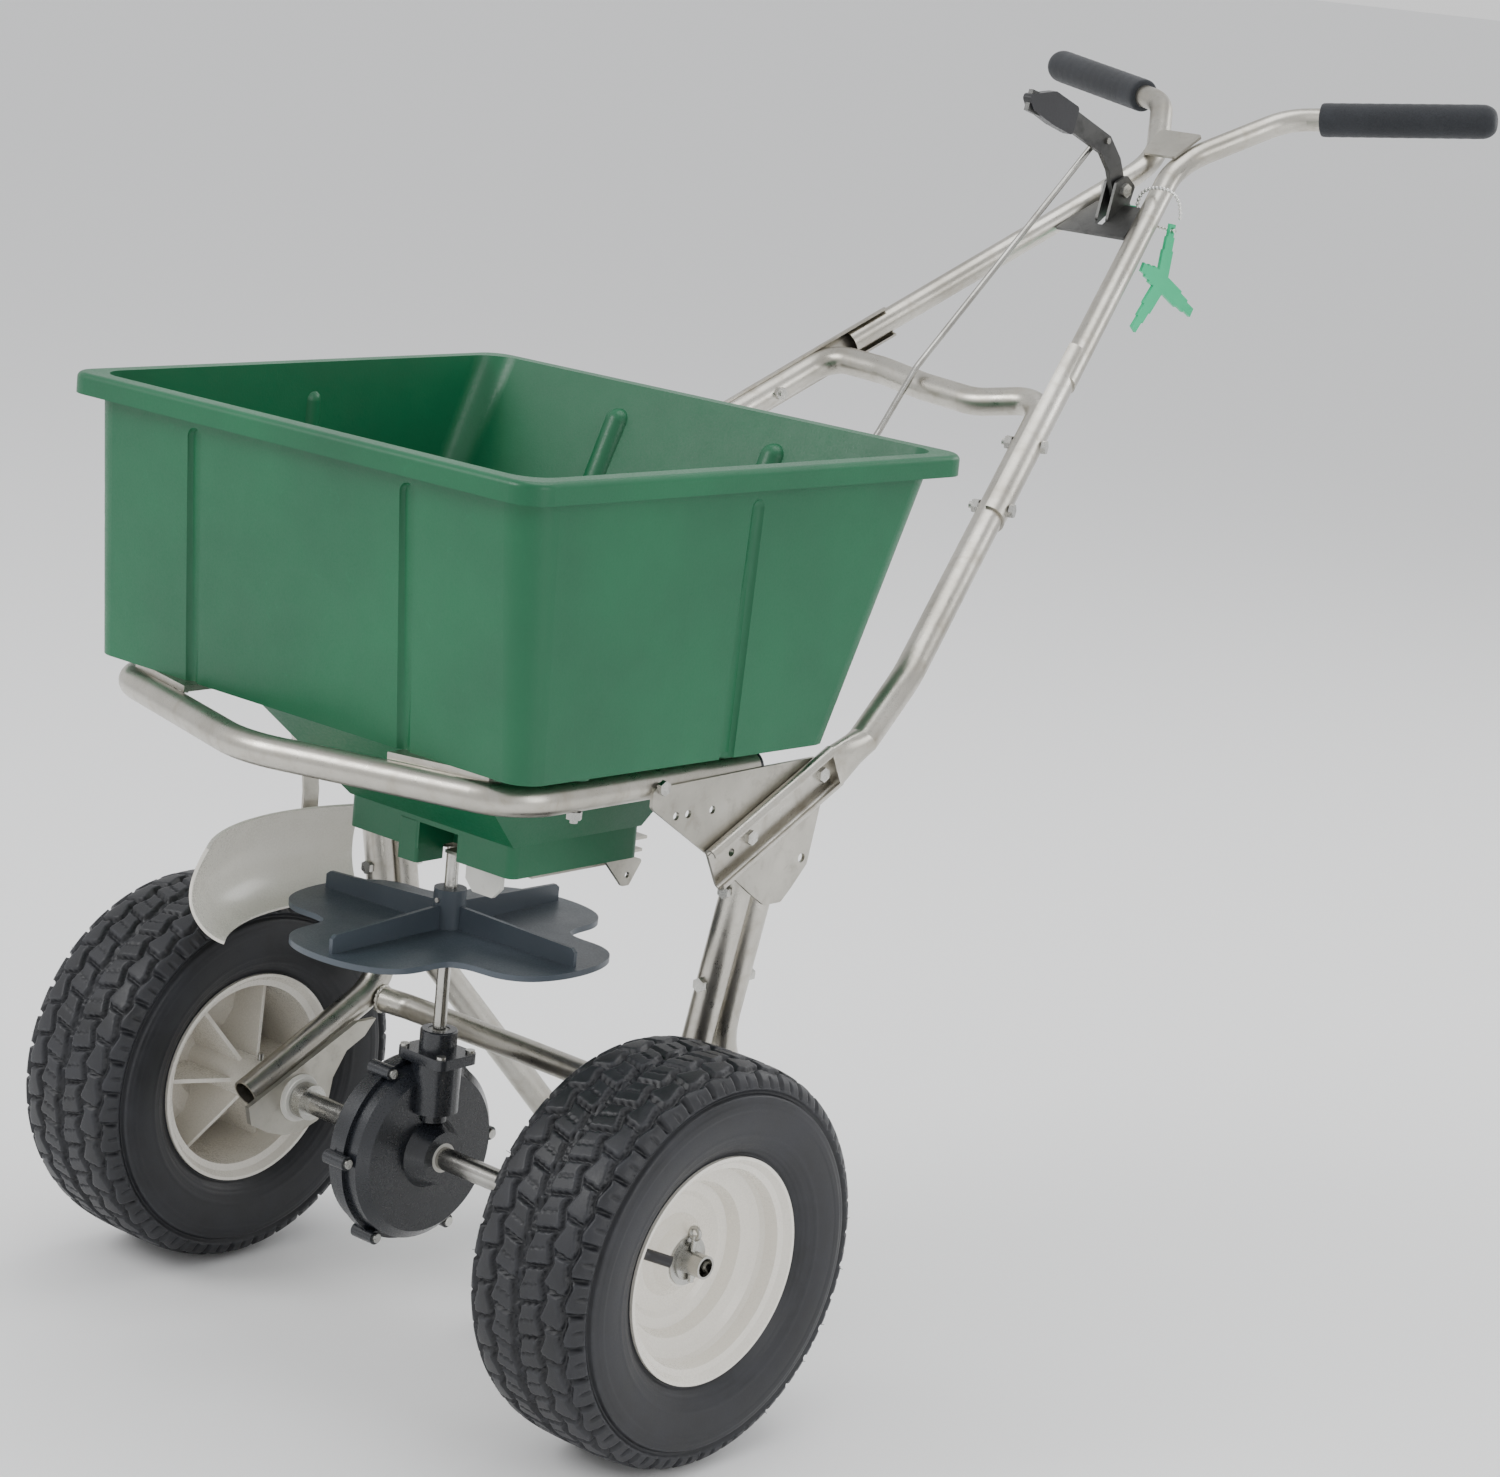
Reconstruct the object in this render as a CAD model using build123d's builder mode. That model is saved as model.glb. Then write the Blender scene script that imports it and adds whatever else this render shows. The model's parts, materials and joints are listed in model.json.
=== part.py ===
"""Push broadcast spreader: hopper on a bent-tube frame, two pneumatic wheels on a
live axle, a gearbox that turns a finned impeller, and a hand lever that pulls a shutter.

Units are millimetres. +Z is up, +Y points back towards the handle, +X is the
machine's left. The origin is on the ground at the centre of the whole machine's box;
the wheel axle runs along X at y = AY, z = WHEEL_R.
"""
from build123d import *
import math
import os

os.makedirs("parts", exist_ok=True)

# ---------------------------------------------------------------- driving dimensions
AY = -413.51           # y of the axle in the part frame

WHEEL_R = 165.0        # 13 inch pneumatic tyre, outside radius
TYRE_W = 127.0         # tyre section width
WHEEL_X = 274.0        # wheel mid-plane from the machine's centre plane
RIM_FLANGE_R = 92.7
RIM_FLANGE_U = 53.7    # half width over the rim flanges
RIM_SEAT_R = 84.0
HUB_BORE_R = 12.7

AXLE_R = 9.525         # 3/4 inch axle tube
AXLE_BORE_R = 7.5
AXLE_HALF = 317.6
RUN = 0.06             # radial running clearance

TUBE_R = 12.7          # 1 inch frame tube
TUBE_WALL = 1.8
UP_R = 11.1            # 7/8 inch upper handle tube
UP_WALL = 1.6

LIP_Z = 785.0          # top of the hopper lip
BOX_Z = 555.0          # underside of the hopper box
THROAT_Z = 466.0       # bottom of the funnel
FLOOR_Z = 440.0        # underside of the hopper floor
WALL = 4.0             # hopper wall

HOOP_Z = 537.0         # centre of the hoop tube
HOOP_X = 230.0         # side rails of the hoop
GUSSET_X = 242.7       # inner face of the gusset plates
GUSSET_T = 3.0

LEG_TOP = (230.0, 111.0, 500.0)
LEG_KNEE = (178.0, 114.0, 250.0)
LEG_END = (175.7, -45.0, 171.5)
BRACKET_X0, BRACKET_X1 = 158.0, 163.0

STAND_TOP = (230.0, 138.0, 500.0)
STAND_KNEE = (186.5, 141.0, 292.0)
STAND_FOOT = (102.0, 356.0, TUBE_R)

SHAFT_X = 5.0          # impeller shaft, over the axle
SHAFT_R = 5.5
IMP_Z = 356.0          # underside of the impeller disc
IMP_T = 5.0
IMP_R = 146.0

CROWN_N, PINION_N = 48, 10
MODULE = 2.4167
CROWN_R = MODULE * CROWN_N / 2          # 58, mean radius of the crown gear
PINION_RP = MODULE * PINION_N / 2       # 12.08

BOLT_R = 3.1
HOLE_R = 3.35
AF_R = 6.2             # circumradius of the small hex heads

LEVER_PIVOT = (818.0, 968.0)
LEVER_HOLE = (789.0, 1014.0)
ROD_EYE = (140.0, 452.0)
ROD_R = 3.0

# upper handle tube: a straight line in space, x and y as functions of z
H_X0, H_Y0, H_Z0 = 388.5, -88.1, 377.8
H_DIR = Vector(-0.30943, 0.80519, 0.50589).normalized()
H_OUT = Vector(0.934, 0.358, 0.0).normalized()
NEST = 5.7             # upper tube axis outside the lower leg axis


def at(x, y, z):
    """A point given with y measured from the axle."""
    return (x, AY + y, z)


def h_line(z, inward=0.0):
    """Point on the left handle line at height z, moved inward across the tube."""
    t = (z - H_Z0) / H_DIR.Z
    return Vector(H_X0 + H_DIR.X * t, AY + H_Y0 + H_DIR.Y * t, z) - H_OUT * inward


def yz(x):
    """Plane at constant x; local axes are y from the axle, and z."""
    return Plane(origin=(x, AY, 0), x_dir=(0, 1, 0), z_dir=(1, 0, 0))


def xz(y):
    """Plane at constant y; local axes are x and z."""
    return Plane(origin=(0, AY + y, 0), x_dir=(1, 0, 0), z_dir=(0, -1, 0))


def xy(z, x=0.0, y=0.0):
    """Plane at constant z, centred on x and y from the axle."""
    return Plane(origin=(x, AY + y, z))


def wheel_plane():
    """Half-plane through the axle: local axes are x and radius."""
    return Plane(origin=(0, AY, WHEEL_R), x_dir=(1, 0, 0), z_dir=(0, -1, 0))


AXLE_AXIS = Axis((0, AY, WHEEL_R), (1, 0, 0))
SHAFT_AXIS = Axis((SHAFT_X, AY, 0), (0, 0, 1))


def strip(points, width):
    """Outline of a flat bar of constant width along a centre line."""
    left, right = [], []
    n = len(points)
    for i, (a, b) in enumerate(points):
        if i == 0:
            dx, dy = points[1][0] - a, points[1][1] - b
        elif i == n - 1:
            dx, dy = a - points[-2][0], b - points[-2][1]
        else:
            d0 = math.hypot(a - points[i - 1][0], b - points[i - 1][1])
            d1 = math.hypot(points[i + 1][0] - a, points[i + 1][1] - b)
            dx = (a - points[i - 1][0]) / d0 + (points[i + 1][0] - a) / d1
            dy = (b - points[i - 1][1]) / d0 + (points[i + 1][1] - b) / d1
        length = math.hypot(dx, dy)
        nx, ny = -dy / length * width / 2, dx / length * width / 2
        left.append((a + nx, b + ny))
        right.append((a - nx, b - ny))
    return left + right[::-1]


# ---------------------------------------------------------------- hopper
def box_outline(z, grow=0.0):
    """Corners of the hopper box at height z, wider and longer towards the top."""
    t = (z - BOX_Z) / (LIP_Z - BOX_Z)
    front_y = -176.5 + t * (-195.0 + 176.5) - grow
    back_y = 162.5 + t * (268.0 - 162.5) + grow
    front_x = 248.5 + t * 2.0 + grow
    back_x = 257.5 + t * 4.0 + grow
    return [(-front_x, front_y), (front_x, front_y), (back_x, back_y), (-back_x, back_y)]


FUN_TOP = (-85.0, 160.0, -153.0, 148.0)      # funnel mouth: x0, x1, y0, y1
TROUGH = (-57.0, 132.0, -61.0, 84.0)         # trough: x0, x1, y0, y1
NOTCH = (26.0, 70.0, -62.0, -22.0)           # recess in the front of the trough
PORT = (36.0, 96.0, 2.0, 42.0)               # outlet port in the floor

with BuildPart() as hopper_outer:
    with BuildSketch(xy(BOX_Z)):
        with BuildLine():
            Polyline(*box_outline(BOX_Z), close=True)
        make_face()
        fillet(vertices(), radius=22)
    with BuildSketch(xy(LIP_Z)):
        with BuildLine():
            Polyline(*box_outline(LIP_Z), close=True)
        make_face()
        fillet(vertices(), radius=30)
    loft()

with BuildPart() as hopper_inner:
    with BuildSketch(xy(BOX_Z + WALL)):
        with BuildLine():
            Polyline(*box_outline(BOX_Z + WALL, -WALL), close=True)
        make_face()
        fillet(vertices(), radius=18)
    with BuildSketch(xy(LIP_Z + 1)):
        with BuildLine():
            Polyline(*box_outline(LIP_Z + 1, -WALL), close=True)
        make_face()
        fillet(vertices(), radius=26)
    loft()

# grooves pressed into the walls: straight round-bottomed channels with a domed top
GROOVES = [
    ((-125.5, -180.5, BOX_Z - 8), (-121.5, -194.5, 752.0)),
    ((120.5, -180.5, BOX_Z - 8), (120.5, -194.5, 752.0)),
    ((256.5, 39.0, BOX_Z - 8), (261.0, 46.5, 752.0)),
    ((-256.5, 39.0, BOX_Z - 8), (-261.0, 46.5, 752.0)),
    ((-90.0, 164.0, BOX_Z - 8), (-90.0, 252.0, 752.0)),
    ((90.0, 164.0, BOX_Z - 8), (90.0, 252.0, 752.0)),
]

with BuildPart() as groove_cut:
    for low, high in GROOVES:
        low_v, high_v = Vector(*at(*low)), Vector(*at(*high))
        with BuildSketch(Plane(origin=low_v, z_dir=high_v - low_v)):
            Circle(8.5)
        extrude(amount=(high_v - low_v).length)
        with Locations(high_v):
            Sphere(8.5)

with BuildPart() as groove_rib:
    for low, high in GROOVES:
        low_v, high_v = Vector(*at(*low)), Vector(*at(*high))
        with BuildSketch(Plane(origin=low_v, z_dir=high_v - low_v)):
            Circle(12.0)
        extrude(amount=(high_v - low_v).length)
        with Locations(high_v):
            Sphere(12.0)

with BuildPart() as hopper:
    add(hopper_outer.part)
    # rolled lip
    with BuildSketch(xy(LIP_Z - 17)):
        with BuildLine():
            Polyline(*box_outline(LIP_Z, 13.5), close=True)
        make_face()
        fillet(vertices(), radius=24)
    extrude(amount=17)
    fillet(edges().group_by(Axis.Z)[-1], radius=5)
    # funnel below the box
    with BuildSketch(xy(BOX_Z)):
        with Locations(((FUN_TOP[0] + FUN_TOP[1]) / 2, (FUN_TOP[2] + FUN_TOP[3]) / 2)):
            Rectangle(FUN_TOP[1] - FUN_TOP[0], FUN_TOP[3] - FUN_TOP[2])
    with BuildSketch(xy(THROAT_Z)):
        with Locations(((TROUGH[0] + TROUGH[1]) / 2, (TROUGH[2] + TROUGH[3]) / 2)):
            Rectangle(TROUGH[1] - TROUGH[0], TROUGH[3] - TROUGH[2])
    loft()
    with BuildSketch(xy(FLOOR_Z)):
        with Locations(((TROUGH[0] + TROUGH[1]) / 2, (TROUGH[2] + TROUGH[3]) / 2)):
            RectangleRounded(TROUGH[1] - TROUGH[0], TROUGH[3] - TROUGH[2], 8)
    extrude(amount=THROAT_Z - FLOOR_Z + 0.5)
    # deeper boss beside the notch
    with BuildSketch(xy(428)):
        with Locations((14, -46)):
            RectangleRounded(23, 31, 3)
    extrude(amount=34)
    # hollow out
    add(hopper_inner.part, mode=Mode.SUBTRACT)
    add(groove_cut.part, mode=Mode.SUBTRACT)
    add(groove_rib.part.intersect(hopper_inner.part) - groove_cut.part)
    with BuildSketch(xy(BOX_Z + WALL + 0.5)):
        with Locations(((FUN_TOP[0] + FUN_TOP[1]) / 2, (FUN_TOP[2] + FUN_TOP[3]) / 2)):
            Rectangle(FUN_TOP[1] - FUN_TOP[0] - 2 * WALL, FUN_TOP[3] - FUN_TOP[2] - 2 * WALL)
    with BuildSketch(xy(THROAT_Z + 1)):
        with Locations(((TROUGH[0] + TROUGH[1]) / 2, (TROUGH[2] + TROUGH[3]) / 2)):
            Rectangle(TROUGH[1] - TROUGH[0] - 2 * WALL, TROUGH[3] - TROUGH[2] - 2 * WALL)
    loft(mode=Mode.SUBTRACT)
    with BuildSketch(xy(FLOOR_Z + WALL)):
        with Locations(((TROUGH[0] + TROUGH[1]) / 2, (TROUGH[2] + TROUGH[3]) / 2)):
            Rectangle(TROUGH[1] - TROUGH[0] - 2 * WALL, TROUGH[3] - TROUGH[2] - 2 * WALL)
        with Locations(((NOTCH[0] + NOTCH[1]) / 2, (NOTCH[2] + NOTCH[3]) / 2)):
            Rectangle(NOTCH[1] - NOTCH[0] + 2 * WALL, NOTCH[3] - NOTCH[2] + 2 * WALL, mode=Mode.SUBTRACT)
    extrude(amount=THROAT_Z - FLOOR_Z - WALL + 1.5, mode=Mode.SUBTRACT)
    with BuildSketch(xy(FLOOR_Z - 1)):
        with Locations(((NOTCH[0] + NOTCH[1]) / 2, (NOTCH[2] + NOTCH[3]) / 2)):
            Rectangle(NOTCH[1] - NOTCH[0], NOTCH[3] - NOTCH[2])
    extrude(amount=THROAT_Z - FLOOR_Z - 3, mode=Mode.SUBTRACT)
    # outlet port and shaft hole in the floor
    with BuildSketch(xy(FLOOR_Z - 2)):
        with Locations(((PORT[0] + PORT[1]) / 2, (PORT[2] + PORT[3]) / 2)):
            RectangleRounded(PORT[1] - PORT[0], PORT[3] - PORT[2], 10)
        with Locations((SHAFT_X, 0)):
            Circle(9.5)
    extrude(amount=WALL + 4, mode=Mode.SUBTRACT)
    # standing bosses on the rails, then bolt holes in the box floor
    with BuildSketch(xy(HOOP_Z + TUBE_R)):
        with Locations((HOOP_X, -100), (-HOOP_X, -100), (HOOP_X, 60), (-HOOP_X, 60)):
            Circle(9)
    extrude(amount=BOX_Z - HOOP_Z - TUBE_R + 1)
    with Locations(*[Location(at(x, y, BOX_Z + 5)) for x, y in
                     ((HOOP_X, -100), (-HOOP_X, -100), (HOOP_X, 60), (-HOOP_X, 60),
                      (148, -163.5), (-148, -163.5))]):
        Cylinder(HOLE_R, 26, mode=Mode.SUBTRACT)
hopper.part.label = "hopper"
export_step(hopper.part, "parts/hopper.step")

# ---------------------------------------------------------------- frame tubes
with BuildPart() as hoop_tube:
    with BuildLine() as hoop_path:
        FilletPolyline(at(HOOP_X, 96, HOOP_Z), at(HOOP_X, -161, HOOP_Z), at(0, -229, HOOP_Z),
                       at(-HOOP_X, -161, HOOP_Z), at(-HOOP_X, 96, HOOP_Z), radius=[48, 110, 48])
    with BuildSketch(Plane(origin=hoop_path.line @ 0, z_dir=hoop_path.line % 0)):
        Circle(TUBE_R)
        Circle(TUBE_R - TUBE_WALL, mode=Mode.SUBTRACT)
    sweep()
    with Locations(*[Location(at(x, y, HOOP_Z)) for x, y in
                     ((HOOP_X, -100), (-HOOP_X, -100), (HOOP_X, 60), (-HOOP_X, 60))]):
        Cylinder(HOLE_R, 40, mode=Mode.SUBTRACT)
    with Locations(*[Plane(origin=at(x, y, HOOP_Z), z_dir=(1, 0, 0)).location for x, y in
                     ((HOOP_X, -22), (-HOOP_X, -22))]):
        Cylinder(HOLE_R, 40, mode=Mode.SUBTRACT)
hoop_tube.part.label = "hoop_tube"
export_step(hoop_tube.part, "parts/hoop_tube.step")

# flat tabs on the front of the hoop that carry the hopper's front corners
with BuildPart() as hopper_tabs:
    with BuildSketch(xy(HOOP_Z + TUBE_R)):
        with BuildLine():
            Polyline((118, -155.5), (205, -155.5), (205, -168), (118, -190), close=True)
        make_face()
        with Locations((148, -163.5)):
            Circle(HOLE_R, mode=Mode.SUBTRACT)
    extrude(amount=BOX_Z - HOOP_Z - TUBE_R)
    mirror(about=Plane.YZ)
hopper_tabs.part.label = "hopper_tabs"
export_step(hopper_tabs.part, "parts/hopper_tabs.step")

# gusset plates joining hoop, handle, and legs
GUSSET = [(-31, 537), (-31, 521), (44, 472), (94, 436), (112, 424), (132, 424), (143, 434),
          (160, 452), (172, 512), (160, 541), (99, 540)]
CH_A, CH_B = Vector(0, 42, 464), Vector(0, 176, 533)       # channel end of the handle leg
CH_D = (CH_B - CH_A).normalized()
G_BOLTS = [CH_A + CH_D * 46, CH_A + CH_D * 137]
LEG_D = (Vector(*LEG_TOP) - Vector(*LEG_KNEE)).normalized()


def leg_at(z):
    t = (z - LEG_KNEE[2]) / (LEG_TOP[2] - LEG_KNEE[2])
    return Vector(LEG_KNEE[0] + t * (LEG_TOP[0] - LEG_KNEE[0]), LEG_KNEE[1] + t * (LEG_TOP[1] - LEG_KNEE[1]), z)


with BuildPart() as gusset_plate_left:
    with BuildSketch(yz(GUSSET_X)):
        with BuildLine():
            Polyline(*GUSSET, close=True)
        make_face()
        fillet(vertices(), radius=5)
        with Locations((-2.7, 512), (11.0, 512), (38.7, 512), *[(p.Y, p.Z) for p in G_BOLTS],
                       ((CH_A + CH_D * 24).Y, (CH_A + CH_D * 24).Z), (-22, HOOP_Z)):
            Circle(HOLE_R, mode=Mode.SUBTRACT)
        with Locations((152.5, 458)):
            Circle(4.0, mode=Mode.SUBTRACT)
    extrude(amount=GUSSET_T)
gusset_plate_left.part.label = "gusset_plate_left"
export_step(gusset_plate_left.part, "parts/gusset_plate_left.step")

with BuildPart() as gusset_plate_right:
    mirror(gusset_plate_left.part, about=Plane.YZ)
gusset_plate_right.part.label = "gusset_plate_right"
export_step(gusset_plate_right.part, "parts/gusset_plate_right.step")

# axle legs: from the gusset plates down, then forward over the axle
LEG_BOLT_Z = (430.0, 347.0)
with BuildPart() as axle_leg_left:
    with BuildLine() as leg_path:
        FilletPolyline(at(*LEG_TOP), at(*LEG_KNEE), at(*LEG_END), radius=62)
    with BuildSketch(Plane(origin=leg_path.line @ 0, z_dir=leg_path.line % 0)):
        Circle(TUBE_R)
        Circle(TUBE_R - TUBE_WALL, mode=Mode.SUBTRACT)
    sweep()
    with Locations(*[Plane(origin=at(leg_at(z).X, leg_at(z).Y, z), z_dir=(0, 1, 0)).location for z in LEG_BOLT_Z]):
        Cylinder(HOLE_R, 40, mode=Mode.SUBTRACT)
axle_leg_left.part.label = "axle_leg_left"
export_step(axle_leg_left.part, "parts/axle_leg_left.step")

with BuildPart() as axle_leg_right:
    mirror(axle_leg_left.part, about=Plane.YZ)
axle_leg_right.part.label = "axle_leg_right"
export_step(axle_leg_right.part, "parts/axle_leg_right.step")

with BuildPart() as cross_brace:
    with BuildLine() as brace_path:
        FilletPolyline(at(-165.2, 96, 236), at(-140, 104, 234), at(0, 108, 233), at(140, 104, 234),
                       at(165.2, 96, 236), radius=[30, 300, 30])
    with BuildSketch(Plane(origin=brace_path.line @ 0, z_dir=brace_path.line % 0)):
        Circle(11.1)
        Circle(9.5, mode=Mode.SUBTRACT)
    sweep()
cross_brace.part.label = "cross_brace"
export_step(cross_brace.part, "parts/cross_brace.step")

# bearing plates welded under the leg ends
with BuildPart() as bearing_plate_left:
    with BuildSketch(yz(BRACKET_X0)):
        with BuildLine():
            Polyline((-56, 166), (-52, 150), (-32, 139), (-14, 133.5), (6, 133.5), (24, 140), (34, 153),
                     (38, 176), (52, 198), (72, 208), (84, 222), (62, 222), close=True)
        make_face()
        with Locations((0, WHEEL_R)):
            Circle(12.6, mode=Mode.SUBTRACT)
    extrude(amount=BRACKET_X1 - BRACKET_X0)
bearing_plate_left.part.label = "bearing_plate_left"
export_step(bearing_plate_left.part, "parts/bearing_plate_left.step")

with BuildPart() as bearing_plate_right:
    mirror(bearing_plate_left.part, about=Plane.YZ)
bearing_plate_right.part.label = "bearing_plate_right"
export_step(bearing_plate_right.part, "parts/bearing_plate_right.step")

with BuildPart() as axle_bearings:
    with BuildSketch(wheel_plane()):
        with BuildLine():
            Polyline((153.2, AXLE_R + RUN), (168, AXLE_R + RUN), (168, 12.6), (BRACKET_X0, 12.6),
                     (BRACKET_X0, 21), (156, 21), (155, 18.5), (153.2, 18.5), close=True)
        make_face()
    revolve(axis=AXLE_AXIS)
    mirror(about=Plane.YZ)
axle_bearings.part.label = "axle_bearings"
export_step(axle_bearings.part, "parts/axle_bearings.step")

# rear stand: one bent tube, bolted behind the axle legs
with BuildPart() as stand:
    sx, sy, sz = STAND_FOOT
    with BuildLine() as stand_path:
        FilletPolyline(at(*STAND_TOP), at(*STAND_KNEE), at(sx, sy, sz), at(-sx, sy, sz),
                       at(-STAND_KNEE[0], STAND_KNEE[1], STAND_KNEE[2]),
                       at(-STAND_TOP[0], STAND_TOP[1], STAND_TOP[2]), radius=[80, 45, 45, 80])
    with BuildSketch(Plane(origin=stand_path.line @ 0, z_dir=stand_path.line % 0)):
        Circle(TUBE_R)
        Circle(TUBE_R - TUBE_WALL, mode=Mode.SUBTRACT)
    sweep()
    for side in (1, -1):
        with Locations(*[Plane(origin=at(side * leg_at(z).X, leg_at(z).Y + 26, z), z_dir=(0, 1, 0)).location
                         for z in LEG_BOLT_Z]):
            Cylinder(HOLE_R, 40, mode=Mode.SUBTRACT)
stand.part.label = "stand"
export_step(stand.part, "parts/stand.step")

with BuildPart() as tube_plugs:
    for side in (1, -1):
        with BuildSketch(Plane(origin=at(side * HOOP_X, 96.2, HOOP_Z), z_dir=(0, 1, 0))):
            Circle(TUBE_R)
        extrude(amount=3)
        with BuildSketch(Plane(origin=at(side * HOOP_X, 96.2, HOOP_Z), z_dir=(0, -1, 0))):
            Circle(TUBE_R - TUBE_WALL - 0.1)
        extrude(amount=8)
    for x, y, z in ((LEG_TOP[0], LEG_TOP[1], LEG_TOP[2]), (-LEG_TOP[0], LEG_TOP[1], LEG_TOP[2]),
                    (STAND_TOP[0], STAND_TOP[1], STAND_TOP[2]), (-STAND_TOP[0], STAND_TOP[1], STAND_TOP[2])):
        lean = Vector(LEG_D.X if x > 0 else -LEG_D.X, LEG_D.Y, LEG_D.Z)
        with BuildSketch(Plane(origin=at(x, y, z), z_dir=lean)):
            Circle(TUBE_R - 0.2)
        extrude(amount=2.5)
        with BuildSketch(Plane(origin=at(x, y, z), z_dir=lean)):
            Circle(TUBE_R - TUBE_WALL - 0.3)
        extrude(amount=-8)
tube_plugs.part.label = "tube_plugs"
export_step(tube_plugs.part, "parts/tube_plugs.step")

# ---------------------------------------------------------------- handle
LOW_B = h_line(598, NEST)
LOW_T = h_line(795, NEST)
CH_X = GUSSET_X + GUSSET_T
TUBE_START = Vector(CH_X + 9.0, AY + 204.0, 552.0)
with BuildPart() as lower_handle:
    with BuildLine() as low_path:
        FilletPolyline(TUBE_START, LOW_B, LOW_T,
                       at(60, 556, 783), at(-6, 562, 786.5), at(-62, 571, 792),
                       Vector(-LOW_T.X, LOW_T.Y, LOW_T.Z), Vector(-LOW_B.X, LOW_B.Y, LOW_B.Z),
                       Vector(-TUBE_START.X, TUBE_START.Y, TUBE_START.Z),
                       radius=[120, 32, 60, 90, 60, 32, 120])
    with BuildSketch(Plane(origin=low_path.line @ 0, z_dir=low_path.line % 0)):
        Circle(TUBE_R)
        Circle(TUBE_R - TUBE_WALL, mode=Mode.SUBTRACT)
    sweep()
    for side in (1, -1):
        # pressed channel end: web and two rolled edges
        start = Vector(side * CH_X, AY + CH_A.Y, CH_A.Z)
        with BuildSketch(Plane(origin=start, x_dir=(side, 0, 0), z_dir=(0, CH_D.Y, CH_D.Z))):
            with Locations((1.25, 0)):
                Rectangle(2.5, 30)
            with Locations((5.6, 14.2), (5.6, -14.2)):
                Circle(5.5)
                Circle(3.7, mode=Mode.SUBTRACT)
            with Locations((5.6, 7.0), (5.6, -7.0)):
                Rectangle(13, 12.3, mode=Mode.SUBTRACT)
            with Locations((1.25, 0)):
                Rectangle(2.5, 26)
        extrude(amount=(CH_B - CH_A).length)
        # flattened mouth blending into the round tube
        with BuildSketch(Plane(origin=Vector(side * (CH_X + 5.6), AY + CH_B.Y, CH_B.Z) - Vector(0, CH_D.Y, CH_D.Z) * 4,
                               x_dir=(side, 0, 0), z_dir=(0, CH_D.Y, CH_D.Z))):
            RectangleRounded(11.0, 38.6, 5.0)
        tan = low_path.line % 0
        with BuildSketch(Plane(origin=(side * TUBE_START.X, TUBE_START.Y, TUBE_START.Z),
                               x_dir=(side, 0, 0), z_dir=(side * tan.X, tan.Y, tan.Z))):
            Circle(TUBE_R)
        loft()
        for p in G_BOLTS + [CH_A + CH_D * 24]:
            with BuildSketch(Plane(origin=(side * (CH_X - 1), AY + p.Y, p.Z), x_dir=(0, 1, 0), z_dir=(side, 0, 0))):
                Circle(HOLE_R)
            extrude(amount=16, mode=Mode.SUBTRACT)
        for z in (761, 714):
            c = h_line(z, NEST)
            with BuildSketch(Plane(origin=(side * c.X, c.Y, c.Z), x_dir=(0, 0, 1), z_dir=(side * H_OUT.X, H_OUT.Y, 0))):
                Circle(HOLE_R)
            extrude(amount=18, both=True, mode=Mode.SUBTRACT)
lower_handle.part.label = "lower_handle"
export_step(lower_handle.part, "parts/lower_handle.step")

GRIP_DIR = (Vector(*at(262.5, 1050.5, 1066.5)) - Vector(*at(75, 981, 1046))).normalized()
GRIP_IN = Vector(*at(75, 981, 1046)) + GRIP_DIR * 32.7
with BuildPart() as upper_handle_left:
    # saddle end wrapped round the lower leg
    low_c, top_c = h_line(706, NEST), h_line(830, NEST)
    with BuildSketch(Plane(origin=low_c, x_dir=H_OUT, z_dir=H_DIR)):
        Circle(TUBE_R + 2.2)
        Circle(TUBE_R + 0.1, mode=Mode.SUBTRACT)
        with Locations((-20, 0)):
            Rectangle(38, 60, mode=Mode.SUBTRACT)
    extrude(amount=(top_c - low_c).length)
    # straight tube out of the saddle
    with BuildSketch(Plane(origin=h_line(808), x_dir=H_OUT, z_dir=H_DIR)):
        Circle(UP_R)
        Circle(UP_R - UP_WALL, mode=Mode.SUBTRACT)
    extrude(amount=(h_line(880) - h_line(808)).length)
    # the bend to the grip
    with BuildLine() as up_path:
        FilletPolyline(h_line(880), h_line(994), at(75, 981, 1046), GRIP_IN + GRIP_DIR * 167, radius=[75, 60])
    with BuildSketch(Plane(origin=h_line(880), x_dir=H_OUT, z_dir=H_DIR)):
        Circle(UP_R)
        Circle(UP_R - UP_WALL, mode=Mode.SUBTRACT)
    sweep(path=up_path.line)
    for z in (761, 714):
        c = h_line(z, NEST)
        with BuildSketch(Plane(origin=c, x_dir=(0, 0, 1), z_dir=(H_OUT.X, H_OUT.Y, 0))):
            Circle(HOLE_R)
        extrude(amount=20, both=True, mode=Mode.SUBTRACT)
upper_handle_left.part.label = "upper_handle_left"
export_step(upper_handle_left.part, "parts/upper_handle_left.step")

with BuildPart() as upper_handle_right:
    mirror(upper_handle_left.part, about=Plane.YZ)
upper_handle_right.part.label = "upper_handle_right"
export_step(upper_handle_right.part, "parts/upper_handle_right.step")

with BuildPart() as handle_grips:
    with BuildSketch(Plane(origin=GRIP_IN, z_dir=GRIP_DIR)):
        Circle(16.5)
    extrude(amount=170)
    fillet(edges().sort_by(Axis.X)[-1], radius=9)
    fillet(edges().sort_by(Axis.X)[0], radius=2.5)
    with BuildSketch(Plane(origin=GRIP_IN - GRIP_DIR * 2, z_dir=GRIP_DIR)):
        Circle(UP_R + 0.02)
    extrude(amount=169.5, mode=Mode.SUBTRACT)
    mirror(about=Plane.YZ)
handle_grips.part.label = "handle_grips"
export_step(handle_grips.part, "parts/handle_grips.step")

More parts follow.
